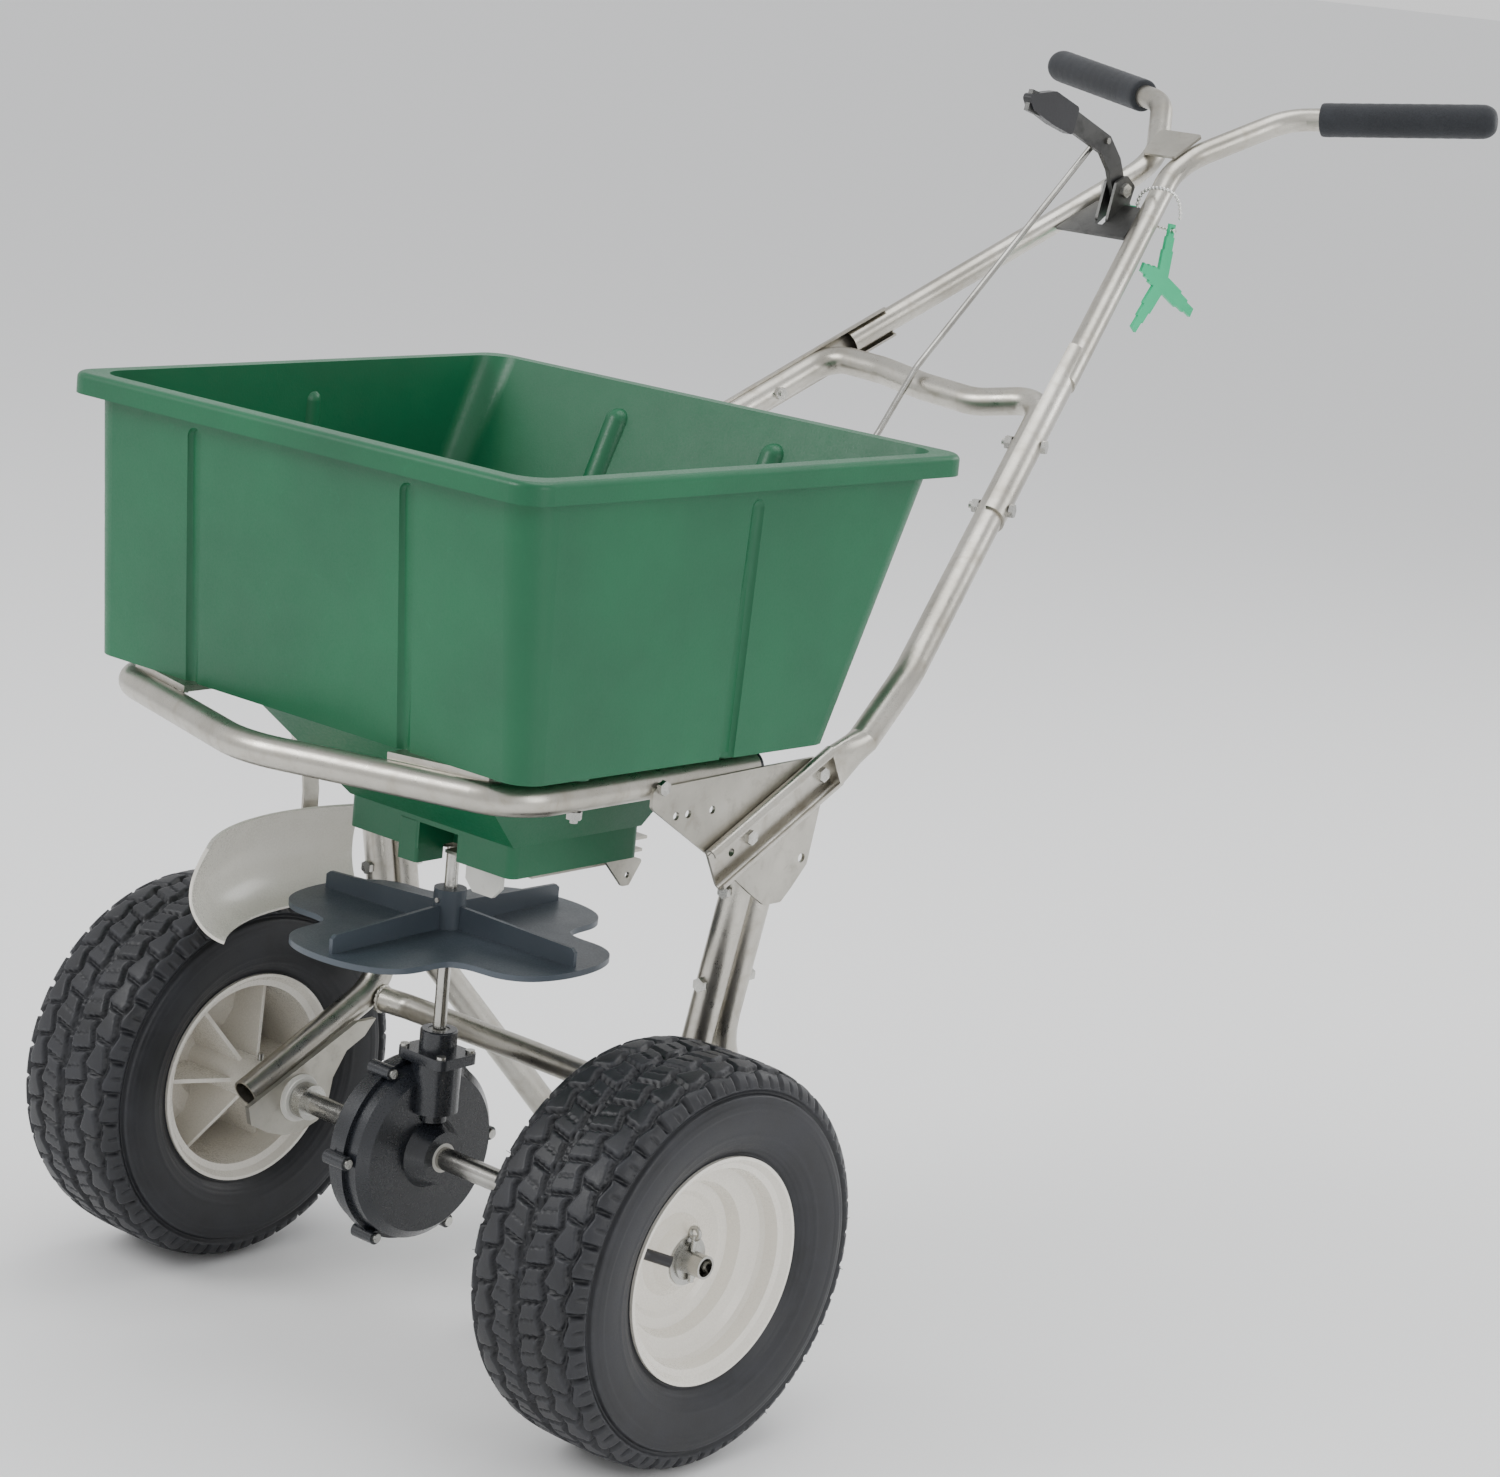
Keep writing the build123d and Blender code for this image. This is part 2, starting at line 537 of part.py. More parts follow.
SADDLE_C = Vector(0, h_line(1000).Y, 1000) + Vector(0, -0.532, 0.847) * 12.3
with BuildPart() as saddle_plate:
    with BuildSketch(Plane(origin=SADDLE_C, x_dir=(1, 0, 0), z_dir=(0, -0.532, 0.847))):
        with BuildLine():
            Polyline((-19, -20), (19, -20), (25, 22), (-25, 22), close=True)
        make_face()
        fillet(vertices(), radius=4)
    extrude(amount=2.5)
saddle_plate.part.label = "saddle_plate"
export_step(saddle_plate.part, "parts/saddle_plate.step")

# ---------------------------------------------------------------- lever, bracket, rod
LEVER_T = 5.0
LEVER_LINE = [(664, 1049), (735, 1031), (789, 1010), (806, 992), (LEVER_PIVOT[0], LEVER_PIVOT[1]), (838, 936)]
with BuildPart() as control_lever:
    with BuildSketch(yz(-LEVER_T / 2)):
        with BuildLine():
            Polyline(*strip(LEVER_LINE, 20), close=True)
        make_face()
        with Locations(LEVER_PIVOT):
            Circle(4.06, mode=Mode.SUBTRACT)
        with Locations(LEVER_HOLE):
            Circle(ROD_R + 0.08, mode=Mode.SUBTRACT)
    extrude(amount=LEVER_T)
control_lever.part.label = "control_lever"
export_step(control_lever.part, "parts/control_lever.step")

with BuildPart() as lever_sleeve:
    with BuildSketch(yz(-LEVER_T / 2 - 2)):
        with BuildLine():
            Polyline((658, 1054), (700, 1058), (738, 1044), (731, 1018), (700, 1027), (668, 1040), close=True)
        make_face()
        fillet(vertices(), radius=4)
    extrude(amount=LEVER_T + 4)
    add(control_lever.part, mode=Mode.SUBTRACT)
lever_sleeve.part.label = "lever_sleeve"
export_step(lever_sleeve.part, "parts/lever_sleeve.step")

BASE_D = Vector(0, 0.847, 0.532)
BASE_C = Vector(0, h_line(944).Y, 944)
with BuildPart() as lever_bracket:
    with BuildSketch(Plane(origin=BASE_C, x_dir=(1, 0, 0), z_dir=(0, -0.532, 0.847))):
        with BuildLine():
            Polyline((-40, -36), (40, -36), (29, 14), (-29, 14), close=True)
        make_face()
        with Locations((0, 9)):
            Rectangle(9, 60, mode=Mode.SUBTRACT)
    extrude(amount=3)
    for x0 in (4.5, -7.5):
        with BuildSketch(yz(x0)):
            with BuildLine():
                Polyline((796, 934), (830, 955), (836, 972), (822, 982), (806, 976), close=True)
            make_face()
            fillet(vertices(), radius=3)
            with Locations(LEVER_PIVOT):
                Circle(4.06, mode=Mode.SUBTRACT)
        extrude(amount=3)
    for side in (1, -1):
        c = h_line(944)
        along = Vector(side * H_DIR.X, H_DIR.Y, H_DIR.Z)
        with BuildSketch(Plane(origin=Vector(side * c.X, c.Y, c.Z) - along * 60, z_dir=along)):
            Circle(UP_R + 0.02)
        extrude(amount=120, mode=Mode.SUBTRACT)
lever_bracket.part.label = "lever_bracket"
export_step(lever_bracket.part, "parts/lever_bracket.step")

with BuildPart() as lever_bolt:
    with BuildSketch(Plane(origin=at(7.5, *LEVER_PIVOT), z_dir=(1, 0, 0))):
        RegularPolygon(7.0, 6)
    extrude(amount=4.5)
    with BuildSketch(Plane(origin=at(7.5, *LEVER_PIVOT), z_dir=(-1, 0, 0))):
        Circle(4.0)
    extrude(amount=24)
lever_bolt.part.label = "lever_bolt"
export_step(lever_bolt.part, "parts/lever_bolt.step")

with BuildPart() as rate_stop:
    with BuildSketch(Plane(origin=at(7.5, 0, 0), x_dir=(0, 1, 0), z_dir=(1, 0, 0))):
        with BuildLine():
            Polyline((824, 944), (842, 934), (848, 944), (832, 955), close=True)
        make_face()
        fillet(vertices(), radius=2)
    extrude(amount=7)
rate_stop.part.label = "rate_stop"
export_step(rate_stop.part, "parts/rate_stop.step")

ROD_X_TOP = -9.0
with BuildPart() as control_rod:
    with BuildLine() as rod_path:
        FilletPolyline(at(5.0, *LEVER_HOLE), at(ROD_X_TOP, *LEVER_HOLE), at(ROD_X_TOP + 2, 550, 804),
                       at(-3, 502, 749), at(0, 468, 716), at(50.0, 176, 470), at(50.0, *ROD_EYE), at(68.0, *ROD_EYE),
                       radius=[5, 40, 40, 60, 14, 5])
    with BuildSketch(Plane(origin=rod_path.line @ 0, z_dir=rod_path.line % 0)):
        Circle(ROD_R)
    sweep()
control_rod.part.label = "control_rod"
export_step(control_rod.part, "parts/control_rod.step")

# ---------------------------------------------------------------- gate under the hopper floor
with BuildPart() as gate_guide:
    with BuildSketch(xy(FLOOR_Z - 3)):
        with Locations((66, 24.5)):
            Rectangle(94, 109)
        with Locations(((PORT[0] + PORT[1]) / 2, (PORT[2] + PORT[3]) / 2)):
            RectangleRounded(PORT[1] - PORT[0], PORT[3] - PORT[2], 10, mode=Mode.SUBTRACT)
        with Locations(((NOTCH[0] + NOTCH[1]) / 2, NOTCH[2])):
            Rectangle(NOTCH[1] - NOTCH[0], 80, mode=Mode.SUBTRACT)
    extrude(amount=3)
    # folded channels that hold the plate's edges
    with BuildSketch(xz(-18)):
        for side in (1, -1):
            with Locations((66 - side * 43.1, FLOOR_Z - 5.2)):
                Rectangle(7.8, 4.6)
            with Locations((66 - side * 41.5, FLOOR_Z - 8.4)):
                Rectangle(11, 2)
    extrude(amount=-97)
gate_guide.part.label = "gate_guide"
export_step(gate_guide.part, "parts/gate_guide.step")

# at rest the window is under the port; 42 mm forward shuts it
with BuildPart() as shutter_plate:
    with BuildSketch(xy(FLOOR_Z - 6.6)):
        with Locations((66, 43)):
            Rectangle(77, 150)
        with Locations((66, 22)):
            RectangleRounded(PORT[1] - PORT[0], PORT[3] - PORT[2], 10, mode=Mode.SUBTRACT)
        with Locations((66, 130)):
            Rectangle(24, 44)
    extrude(amount=2.6)
    with BuildSketch(yz(58.0)):
        with BuildLine():
            Polyline((129, FLOOR_Z - 6.6), (151, FLOOR_Z - 6.6), (152, 452), (149, 461), (140, 465),
                     (131.5, 461), (129, 452), close=True)
        make_face()
        with Locations(ROD_EYE):
            Circle(7.6, mode=Mode.SUBTRACT)
    extrude(amount=3)
shutter_plate.part.label = "shutter_plate"
export_step(shutter_plate.part, "parts/shutter_plate.step")

with BuildPart() as shutter_tab:
    with BuildSketch(xz(-32.2)):
        with BuildLine():
            Polyline((57, FLOOR_Z - 4), (97, FLOOR_Z - 4), (97, 420), (88, 411), (66, 411), (57, 420), close=True)
        make_face()
    extrude(amount=4)
shutter_tab.part.label = "shutter_tab"
export_step(shutter_tab.part, "parts/shutter_tab.step")

with BuildPart() as gate_bracket:
    with BuildSketch(yz(121.0)):
        with BuildLine():
            Polyline((52, FLOOR_Z), (80, FLOOR_Z), (98, 434), (84, 414), (76, 414), close=True)
        make_face()
        fillet(vertices(), radius=2.5)
        with Locations((81, 423)):
            Circle(2.6, mode=Mode.SUBTRACT)
    extrude(amount=3)
gate_bracket.part.label = "gate_bracket"
export_step(gate_bracket.part, "parts/gate_bracket.step")

# ---------------------------------------------------------------- side deflector
DEFLECT_Z0 = 330.0
with BuildPart() as side_deflector:
    with BuildSketch(Plane(origin=(SHAFT_X, AY, 0), x_dir=(-0.93969, 0.34202, 0), z_dir=(0.34202, 0.93969, 0))):
        with BuildLine():
            Spline((199, 412), (208, 390), (210, 366), (200, 345), (180, 332))
            Line((180, 332), (179, 334.4))
            Spline((179, 334.4), (198, 346.6), (207.4, 366), (205.4, 389), (196.6, 411))
            Line((196.6, 411), (199, 412))
        make_face()
    revolve(axis=SHAFT_AXIS, revolution_arc=66)
    split(bisect_by=Plane(origin=(SHAFT_X, AY - 150, 0), z_dir=(0.0, 1, 0)), keep=Keep.TOP)
side_deflector.part.label = "side_deflector"
export_step(side_deflector.part, "parts/side_deflector.step")

with BuildPart() as deflector_bracket:
    with BuildSketch(xz(38)):
        with BuildLine():
            Polyline(*strip([(-238, 522.9), (-218, 522.9), (-202.6, 424), (-202.6, 397)], 2.4), close=True)
        make_face()
    extrude(amount=17)
    with Locations(Location(at(-230, 29.5, 520))):
        Cylinder(2.3, 12, mode=Mode.SUBTRACT)
deflector_bracket.part.label = "deflector_bracket"
export_step(deflector_bracket.part, "parts/deflector_bracket.step")

with BuildPart() as deflector_screws:
    with BuildSketch(Plane(origin=at(-203.9, 29.5, 405), z_dir=(-1, 0, 0))):
        Circle(4.5)
    extrude(amount=2.6)
    with BuildSketch(Plane(origin=at(-201.3, 29.5, 405), z_dir=(1, 0, 0))):
        Circle(2.2)
    extrude(amount=3.5)
    with BuildSketch(xy(521.6, -230, 29.5)):
        Circle(4.5)
    extrude(amount=-2.6)
deflector_screws.part.label = "deflector_screws"
export_step(deflector_screws.part, "parts/deflector_screws.step")

# ---------------------------------------------------------------- gearbox
GB_X0, GB_XS, GB_X1 = -42.0, -18.0, 6.0
with BuildPart() as gearbox_half_right:
    with BuildSketch(wheel_plane()):
        with BuildLine():
            Polyline((GB_XS, 80), (GB_XS - 4, 80), (GB_XS - 4, 76), (GB_X0 + 8, 76), (GB_X0, 68), (GB_X0, 26),
                     (GB_X0 - 8, 22), (GB_X0 - 8, 12.6), (GB_X0 + 4, 12.6), (GB_X0 + 4, 66), (GB_X0 + 9, 72),
                     (GB_XS, 72), close=True)
        make_face()
    revolve(axis=AXLE_AXIS)
    for k in range(6):
        a = math.radians(58 + 60 * k)
        with BuildSketch(Plane(origin=at(GB_XS, 82 * math.cos(a), WHEEL_R + 82 * math.sin(a)), z_dir=(-1, 0, 0))):
            Circle(6)
            Circle(2.1, mode=Mode.SUBTRACT)
        extrude(amount=12)
gearbox_half_right.part.label = "gearbox_half_right"

with BuildPart() as gearbox_half_left:
    with BuildSketch(wheel_plane()):
        with BuildLine():
            Polyline((GB_XS, 80), (GB_XS + 4, 80), (GB_XS + 4, 76), (GB_X1 - 8, 76), (GB_X1, 68), (GB_X1, 30),
                     (GB_X1 + 8, 26), (GB_X1 + 16, 22), (GB_X1 + 16, 12.6), (GB_X1 - 4, 12.6), (GB_X1 - 4, 66),
                     (GB_X1 - 9, 72), (GB_XS, 72), close=True)
        make_face()
    revolve(axis=AXLE_AXIS)
    for k in range(6):
        a = math.radians(58 + 60 * k)
        with BuildSketch(Plane(origin=at(GB_XS, 82 * math.cos(a), WHEEL_R + 82 * math.sin(a)), z_dir=(1, 0, 0))):
            Circle(6)
            Circle(2.1, mode=Mode.SUBTRACT)
        extrude(amount=12)
    # vertical pinion housing
    with BuildSketch(xy(203, SHAFT_X)):
        Circle(21)
    extrude(amount=48)
    with BuildSketch(xy(194, SHAFT_X)):
        Circle(12)
    extrude(amount=10)
    with BuildSketch(xy(246, SHAFT_X)):
        RectangleRounded(54, 44, 7)
    extrude(amount=5)
    with BuildSketch(xy(207, SHAFT_X)):
        Circle(17)
    extrude(amount=45, mode=Mode.SUBTRACT)
    with BuildSketch(xy(197, SHAFT_X)):
        Circle(SHAFT_R + RUN)
    extrude(amount=12, mode=Mode.SUBTRACT)
    # room for the crown gear behind the housing
    with BuildSketch(Plane(origin=at(GB_XS, 0, WHEEL_R), x_dir=(0, 1, 0), z_dir=(1, 0, 0))):
        Circle(66)
        Circle(26, mode=Mode.SUBTRACT)
    extrude(amount=-GB_XS - 2.5, mode=Mode.SUBTRACT)
    with Locations(*[Location(at(SHAFT_X + sx * 21.5, sy * 16.5, 248)) for sx in (1, -1) for sy in (1, -1)]):
        Cylinder(2.1, 12, mode=Mode.SUBTRACT)
gearbox_half_left.part.label = "gearbox_half_left"

with BuildPart() as gearbox_cap:
    with BuildSketch(xy(251, SHAFT_X)):
        RectangleRounded(54, 44, 7)
    extrude(amount=4)
    with BuildSketch(xy(255, SHAFT_X)):
        Circle(15.6)
    extrude(amount=18)
    fillet(edges().group_by(Axis.Z)[-1], radius=1.5)
    with BuildSketch(xy(246, SHAFT_X)):
        Circle(9)
    extrude(amount=30, mode=Mode.SUBTRACT)
    with Locations(*[Location(at(SHAFT_X + sx * 21.5, sy * 16.5, 253)) for sx in (1, -1) for sy in (1, -1)]):
        Cylinder(2.1, 12, mode=Mode.SUBTRACT)
gearbox_cap.part.label = "gearbox_cap"
export_step(gearbox_half_right.part, "parts/gearbox_half_right.step")
export_step(gearbox_half_left.part, "parts/gearbox_half_left.step")
export_step(gearbox_cap.part, "parts/gearbox_cap.step")

with BuildPart() as shaft_bush_lower:
    with BuildSketch(xy(253, SHAFT_X)):
        Circle(9)
        Circle(SHAFT_R + RUN, mode=Mode.SUBTRACT)
    extrude(amount=19)
shaft_bush_lower.part.label = "shaft_bush_lower"
export_step(shaft_bush_lower.part, "parts/shaft_bush_lower.step")

with BuildPart() as shaft_bush_upper:
    with BuildSketch(xy(FLOOR_Z - 4, SHAFT_X)):
        Circle(12)
    extrude(amount=4)
    with BuildSketch(xy(FLOOR_Z, SHAFT_X)):
        Circle(9.5)
    extrude(amount=8)
    with BuildSketch(xy(FLOOR_Z - 6, SHAFT_X)):
        Circle(SHAFT_R + RUN)
    extrude(amount=20, mode=Mode.SUBTRACT)
shaft_bush_upper.part.label = "shaft_bush_upper"
export_step(shaft_bush_upper.part, "parts/shaft_bush_upper.step")

with BuildPart() as gearbox_seals:
    for x0, x1 in ((GB_X0 - 8, GB_X0 + 4), (GB_X1 - 4, GB_X1 + 16)):
        with BuildSketch(wheel_plane()):
            with BuildLine():
                Polyline((x0, AXLE_R + RUN), (x1, AXLE_R + RUN), (x1, 12.6), (x0, 12.6), close=True)
            make_face()
        revolve(axis=AXLE_AXIS)
gearbox_seals.part.label = "gearbox_bushes"
export_step(gearbox_seals.part, "parts/gearbox_bushes.step")

with BuildPart() as gearbox_screws:
    for k in range(6):
        a = math.radians(58 + 60 * k)
        p = at(GB_XS + 12, 82 * math.cos(a), WHEEL_R + 82 * math.sin(a))
        with BuildSketch(Plane(origin=p, z_dir=(1, 0, 0))):
            Circle(4)
        extrude(amount=2.5)
        with BuildSketch(Plane(origin=p, z_dir=(-1, 0, 0))):
            Circle(2.05)
        extrude(amount=22)
    for sx in (1, -1):
        for sy in (1, -1):
            p = at(SHAFT_X + sx * 21.5, sy * 16.5, 255)
            with BuildSketch(Plane(origin=p, z_dir=(0, 0, 1))):
                Circle(4)
            extrude(amount=2.5)
            with BuildSketch(Plane(origin=p, z_dir=(0, 0, -1))):
                Circle(2.05)
            extrude(amount=8.5)
gearbox_screws.part.label = "gearbox_screws"
export_step(gearbox_screws.part, "parts/gearbox_screws.step")

# ---------------------------------------------------------------- gears
with BuildPart() as crown_gear:
    tip_x = SHAFT_X - PINION_RP + 0.85 * MODULE
    root_x = SHAFT_X - PINION_RP - 1.2 * MODULE
    with BuildSketch(Plane(origin=at(root_x, 0, WHEEL_R), x_dir=(0, 1, 0), z_dir=(-1, 0, 0))):
        Circle(64.5)
        Circle(AXLE_R, mode=Mode.SUBTRACT)
    extrude(amount=6)
    with BuildSketch(Plane(origin=at(root_x, 0, WHEEL_R), x_dir=(0, 1, 0), z_dir=(-1, 0, 0))):
        Circle(18)
        Circle(AXLE_R, mode=Mode.SUBTRACT)
    extrude(amount=20)
    # teeth: trapezoid bars laid radially; a gap faces straight up at rest
    with BuildSketch(Plane(origin=at(0, 0, WHEEL_R + 52.0), x_dir=(1, 0, 0), z_dir=(0, 0, 1))):
        with BuildLine():
            Polyline((root_x - 0.5, -1.75), (tip_x, -0.95), (tip_x, 0.95), (root_x - 0.5, 1.75), close=True)
        make_face()
    tooth = extrude(amount=12.3, mode=Mode.PRIVATE)
    for k in range(CROWN_N):
        add(tooth.rotate(AXLE_AXIS, (k + 0.5) * 360.0 / CROWN_N))
crown_gear.part.label = "crown_gear"
export_step(crown_gear.part, "parts/crown_gear.step")

with BuildPart() as pinion_gear:
    with BuildSketch(xy(WHEEL_R + 51.5, SHAFT_X)):
        Circle(PINION_RP - 1.25 * MODULE)
        Circle(SHAFT_R, mode=Mode.SUBTRACT)
    extrude(amount=13.5)
    with BuildSketch(xy(WHEEL_R + 51.5, SHAFT_X)):
        with BuildLine():
            Polyline((-(PINION_RP - 1.35 * MODULE), -1.9), (-PINION_RP, -1.55), (-(PINION_RP + 0.85 * MODULE), -0.8),
                     (-(PINION_RP + 0.85 * MODULE), 0.8), (-PINION_RP, 1.55), (-(PINION_RP - 1.35 * MODULE), 1.9), close=True)
        make_face()
    leaf = extrude(amount=13.5, mode=Mode.PRIVATE)
    for k in range(PINION_N):
        add(leaf.rotate(SHAFT_AXIS, k * 360.0 / PINION_N))
pinion_gear.part.label = "pinion_gear"
export_step(pinion_gear.part, "parts/pinion_gear.step")

# ---------------------------------------------------------------- impeller
with BuildPart() as impeller_shaft:
    with BuildSketch(xy(198, SHAFT_X)):
        Circle(SHAFT_R)
    extrude(amount=300)
    with Locations(Plane(origin=at(SHAFT_X, 0, 385), z_dir=(0, 1, 0)).location,
                   Plane(origin=at(SHAFT_X, 0, 480), z_dir=(0, 1, 0)).location):
        Cylinder(2.0, 30, mode=Mode.SUBTRACT)
    chamfer(edges().group_by(Axis.Z)[-1], length=1)
impeller_shaft.part.label = "impeller_shaft"
export_step(impeller_shaft.part, "parts/impeller_shaft.step")

# four-lobed disc: radius of the edge against the angle from a lobe's middle
LOBE = ((-45, 101), (-38, 107), (-30, 127), (-22, 140), (-12, 145), (0, IMP_R), (12, 145), (22, 140), (30, 127), (38, 107))
IMP_EDGE = [(r * math.cos(math.radians(4 + 90 * k + a)), r * math.sin(math.radians(4 + 90 * k + a)))
            for k in range(4) for a, r in LOBE]

with BuildPart() as impeller:
    with BuildSketch(xy(IMP_Z, SHAFT_X)):
        with BuildLine():
            Spline(*IMP_EDGE, periodic=True)
        make_face()
    extrude(amount=IMP_T)
    with BuildSketch(xy(IMP_Z, SHAFT_X)):
        Circle(13.5)
    extrude(amount=38)
    for k in range(4):
        a = math.radians(4 + 90 * k)
        with BuildSketch(Plane(origin=at(SHAFT_X, 0, 0), x_dir=(math.cos(a), math.sin(a), 0),
                               z_dir=(math.sin(a), -math.cos(a), 0))):
            with BuildLine():
                Polyline((10, IMP_Z + 2), (IMP_R - 9, IMP_Z + 2), (IMP_R - 9, IMP_Z + IMP_T + 12),
                         (IMP_R - 13, IMP_Z + IMP_T + 15), (10, IMP_Z + IMP_T + 20), close=True)
            make_face()
        extrude(amount=1.8, both=True)
    with BuildSketch(xy(IMP_Z - 1, SHAFT_X)):
        Circle(SHAFT_R)
    extrude(amount=42, mode=Mode.SUBTRACT)
    with Locations(Plane(origin=at(SHAFT_X, 0, 385), z_dir=(0, 1, 0)).location):
        Cylinder(2.0, 40, mode=Mode.SUBTRACT)
impeller.part.label = "impeller"
export_step(impeller.part, "parts/impeller.step")

# spring pins through the shaft: one drives the impeller, the long one stirs the hopper
with BuildPart() as shaft_pins:
    with Locations(Plane(origin=at(SHAFT_X, 0, 385), z_dir=(0, 1, 0)).location):
        Cylinder(1.98, 30)
    with Locations(Plane(origin=at(SHAFT_X, 0, 480), z_dir=(0, 1, 0)).location):
        Cylinder(1.98, 60)
shaft_pins.part.label = "shaft_pins"
export_step(shaft_pins.part, "parts/shaft_pins.step")

# ---------------------------------------------------------------- axle and wheels
PIN_X = 303.5
DRIVE_X = -210.0
with BuildPart() as axle:
    with BuildSketch(Plane(origin=at(-AXLE_HALF, 0, WHEEL_R), z_dir=(1, 0, 0))):
        Circle(AXLE_R)
        Circle(AXLE_BORE_R, mode=Mode.SUBTRACT)
    extrude(amount=2 * AXLE_HALF)
    with Locations(*[Location(at(x, 0, WHEEL_R)) for x in (PIN_X, -PIN_X, DRIVE_X)]):
        Cylinder(2.6, 40, mode=Mode.SUBTRACT)
axle.part.label = "axle"
export_step(axle.part, "parts/axle.step")

with BuildPart() as axle_collars:
    for x0, x1 in ((140.5, 152.9), (-152.9, -140.5)):
        with BuildSketch(wheel_plane()):
            with BuildLine():
                Polyline((x0, AXLE_R), (x1, AXLE_R), (x1, 15.5), (x0, 15.5), close=True)
            make_face()
        revolve(axis=AXLE_AXIS)
axle_collars.part.label = "axle_collars"
export_step(axle_collars.part, "parts/axle_collars.step")

with BuildPart() as axle_washers:
    for x0, x1, r in ((297.3, 298.85, 20), (298.95, 300.5, 15), (193.5, 195.3, 17),
                      (-298.85, -297.3, 20), (-300.5, -298.95, 15)):
        with BuildSketch(wheel_plane()):
            with BuildLine():
                Polyline((x0, AXLE_R), (x1, AXLE_R), (x1, r), (x0, r), close=True)
            make_face()
        revolve(axis=AXLE_AXIS)
axle_washers.part.label = "axle_washers"
export_step(axle_washers.part, "parts/axle_washers.step")

with BuildPart() as cotter_pins:
    for x in (PIN_X, -PIN_X):
        with Locations(Location(at(x, 0, WHEEL_R + 3))):
            Cylinder(2.4, 38)
        with Locations(Location(at(x, 0, WHEEL_R + 24), (90, 0, 0))):
            Torus(4.6, 1.9)
cotter_pins.part.label = "cotter_pins"
export_step(cotter_pins.part, "parts/cotter_pins.step")

with BuildPart() as drive_pin:
    with Locations(Location(at(DRIVE_X, 0, WHEEL_R))):
        Cylinder(2.5, 50)
drive_pin.part.label = "drive_pin"
export_step(drive_pin.part, "parts/drive_pin.step")

VALVE_A = math.radians(160)     # the valve's place round the rim, from +Y towards +Z


def valve_at(u, r):
    """Point on the left wheel at u from its mid-plane and radius r, at the valve's angle."""
    return Vector(WHEEL_X + u, AY + r * math.cos(VALVE_A), WHEEL_R + r * math.sin(VALVE_A))


RIM = [(23, HUB_BORE_R), (23, 22), (14, 28), (8, 34), (6, 48), (9, 52), (11, 60), (22, 64), (26, 72), (30, 78),
       (34, 80), (46, 81.5), (48, 86), (51.5, 88.5), (RIM_FLANGE_U, 90), (RIM_FLANGE_U, RIM_FLANGE_R),
       (50.7, RIM_FLANGE_R), (50.7, 89.5), (45.5, 88), (44.5, RIM_SEAT_R), (-44.5, RIM_SEAT_R), (-45.5, 88),
       (-50.7, 89.5), (-50.7, RIM_FLANGE_R), (-RIM_FLANGE_U, RIM_FLANGE_R), (-RIM_FLANGE_U, 90), (-48, 86),
       (-45.5, 80.5), (27, 80.5), (22, 75), (18, 67), (8, 63.5), (5, 56), (2, 50), (4, 34), (9, 27), (9, 19),
       (-72, 19), (-72, HUB_BORE_R)]
with BuildPart() as wheel_rim_left:
    with BuildSketch(wheel_plane()):
        with BuildLine():
            Polyline(*[(WHEEL_X + u, r) for u, r in RIM], close=True)
        make_face()
    revolve(axis=AXLE_AXIS)
    # six ribs behind the disc
    for k in range(6):
        a = math.radians(60 * k + 30)
        with BuildSketch(Plane(origin=at(WHEEL_X, 0, WHEEL_R), x_dir=(1, 0, 0),
                               z_dir=(0, -math.cos(a), -math.sin(a)))):
            with BuildLine():
                Polyline((11, 18), (-50, 18), (-18, 82), (28, 82), (25, 75), (22, 70), (18.5, 66), (14, 64.2), (10.5, 62),
                         (8.6, 60), (5.8, 52), (4.4, 48.5), (6, 34), (11, 27), close=True)
            make_face()
        extrude(amount=1.8, both=True)
    # round hole for the valve, square to the barrel
    with BuildSketch(Plane(origin=valve_at(32.5, 90), x_dir=(1, 0, 0), z_dir=valve_at(32.5, 0) - valve_at(32.5, 90))):
        Circle(4.75)
    extrude(amount=14.5, mode=Mode.SUBTRACT)
wheel_rim_left.part.label = "wheel_rim_left"
export_step(wheel_rim_left.part, "parts/wheel_rim_left.step")

with BuildPart() as wheel_rim_right:
    mirror(wheel_rim_left.part, about=Plane.YZ)
    with Locations(Location(at(DRIVE_X, 0, WHEEL_R))):
        Cylinder(2.6, 60, mode=Mode.SUBTRACT)
wheel_rim_right.part.label = "wheel_rim_right"
export_step(wheel_rim_right.part, "parts/wheel_rim_right.step")

HALF_TYRE = [(44.5, RIM_SEAT_R), (45.5, 88), (50.7, 89.5), (50.7, 93), (55, 98), (60, 108), (63, 119), (63.5, 129), (62.5, 140), (59.5, 150),
             (54.5, 157.5), (46, 162.5), (30, 164.6), (0, WHEEL_R)]
HALF_IN = [(0, 156.5), (30, 156), (44, 153), (50, 147), (54, 137), (55.5, 126), (54, 112), (49, 100), (42, 92),
           (38, RIM_SEAT_R)]
with BuildPart() as tyre_left:
    with BuildSketch(wheel_plane()):
        with BuildLine():
            Polyline(*[(WHEEL_X + u, r) for u, r in HALF_TYRE],
                     *[(WHEEL_X - u, r) for u, r in HALF_TYRE[-2::-1]],
                     *[(WHEEL_X - u, r) for u, r in HALF_IN[::-1]],
                     *[(WHEEL_X + u, r) for u, r in HALF_IN[1:]], close=True)
        make_face()
    revolve(axis=AXLE_AXIS)
tyre_left.part.label = "tyre_left"
export_step(tyre_left.part, "parts/tyre_left.step")

with BuildPart() as tyre_right:
    mirror(tyre_left.part, about=Plane.YZ)
tyre_right.part.label = "tyre_right"
export_step(tyre_right.part, "parts/tyre_right.step")

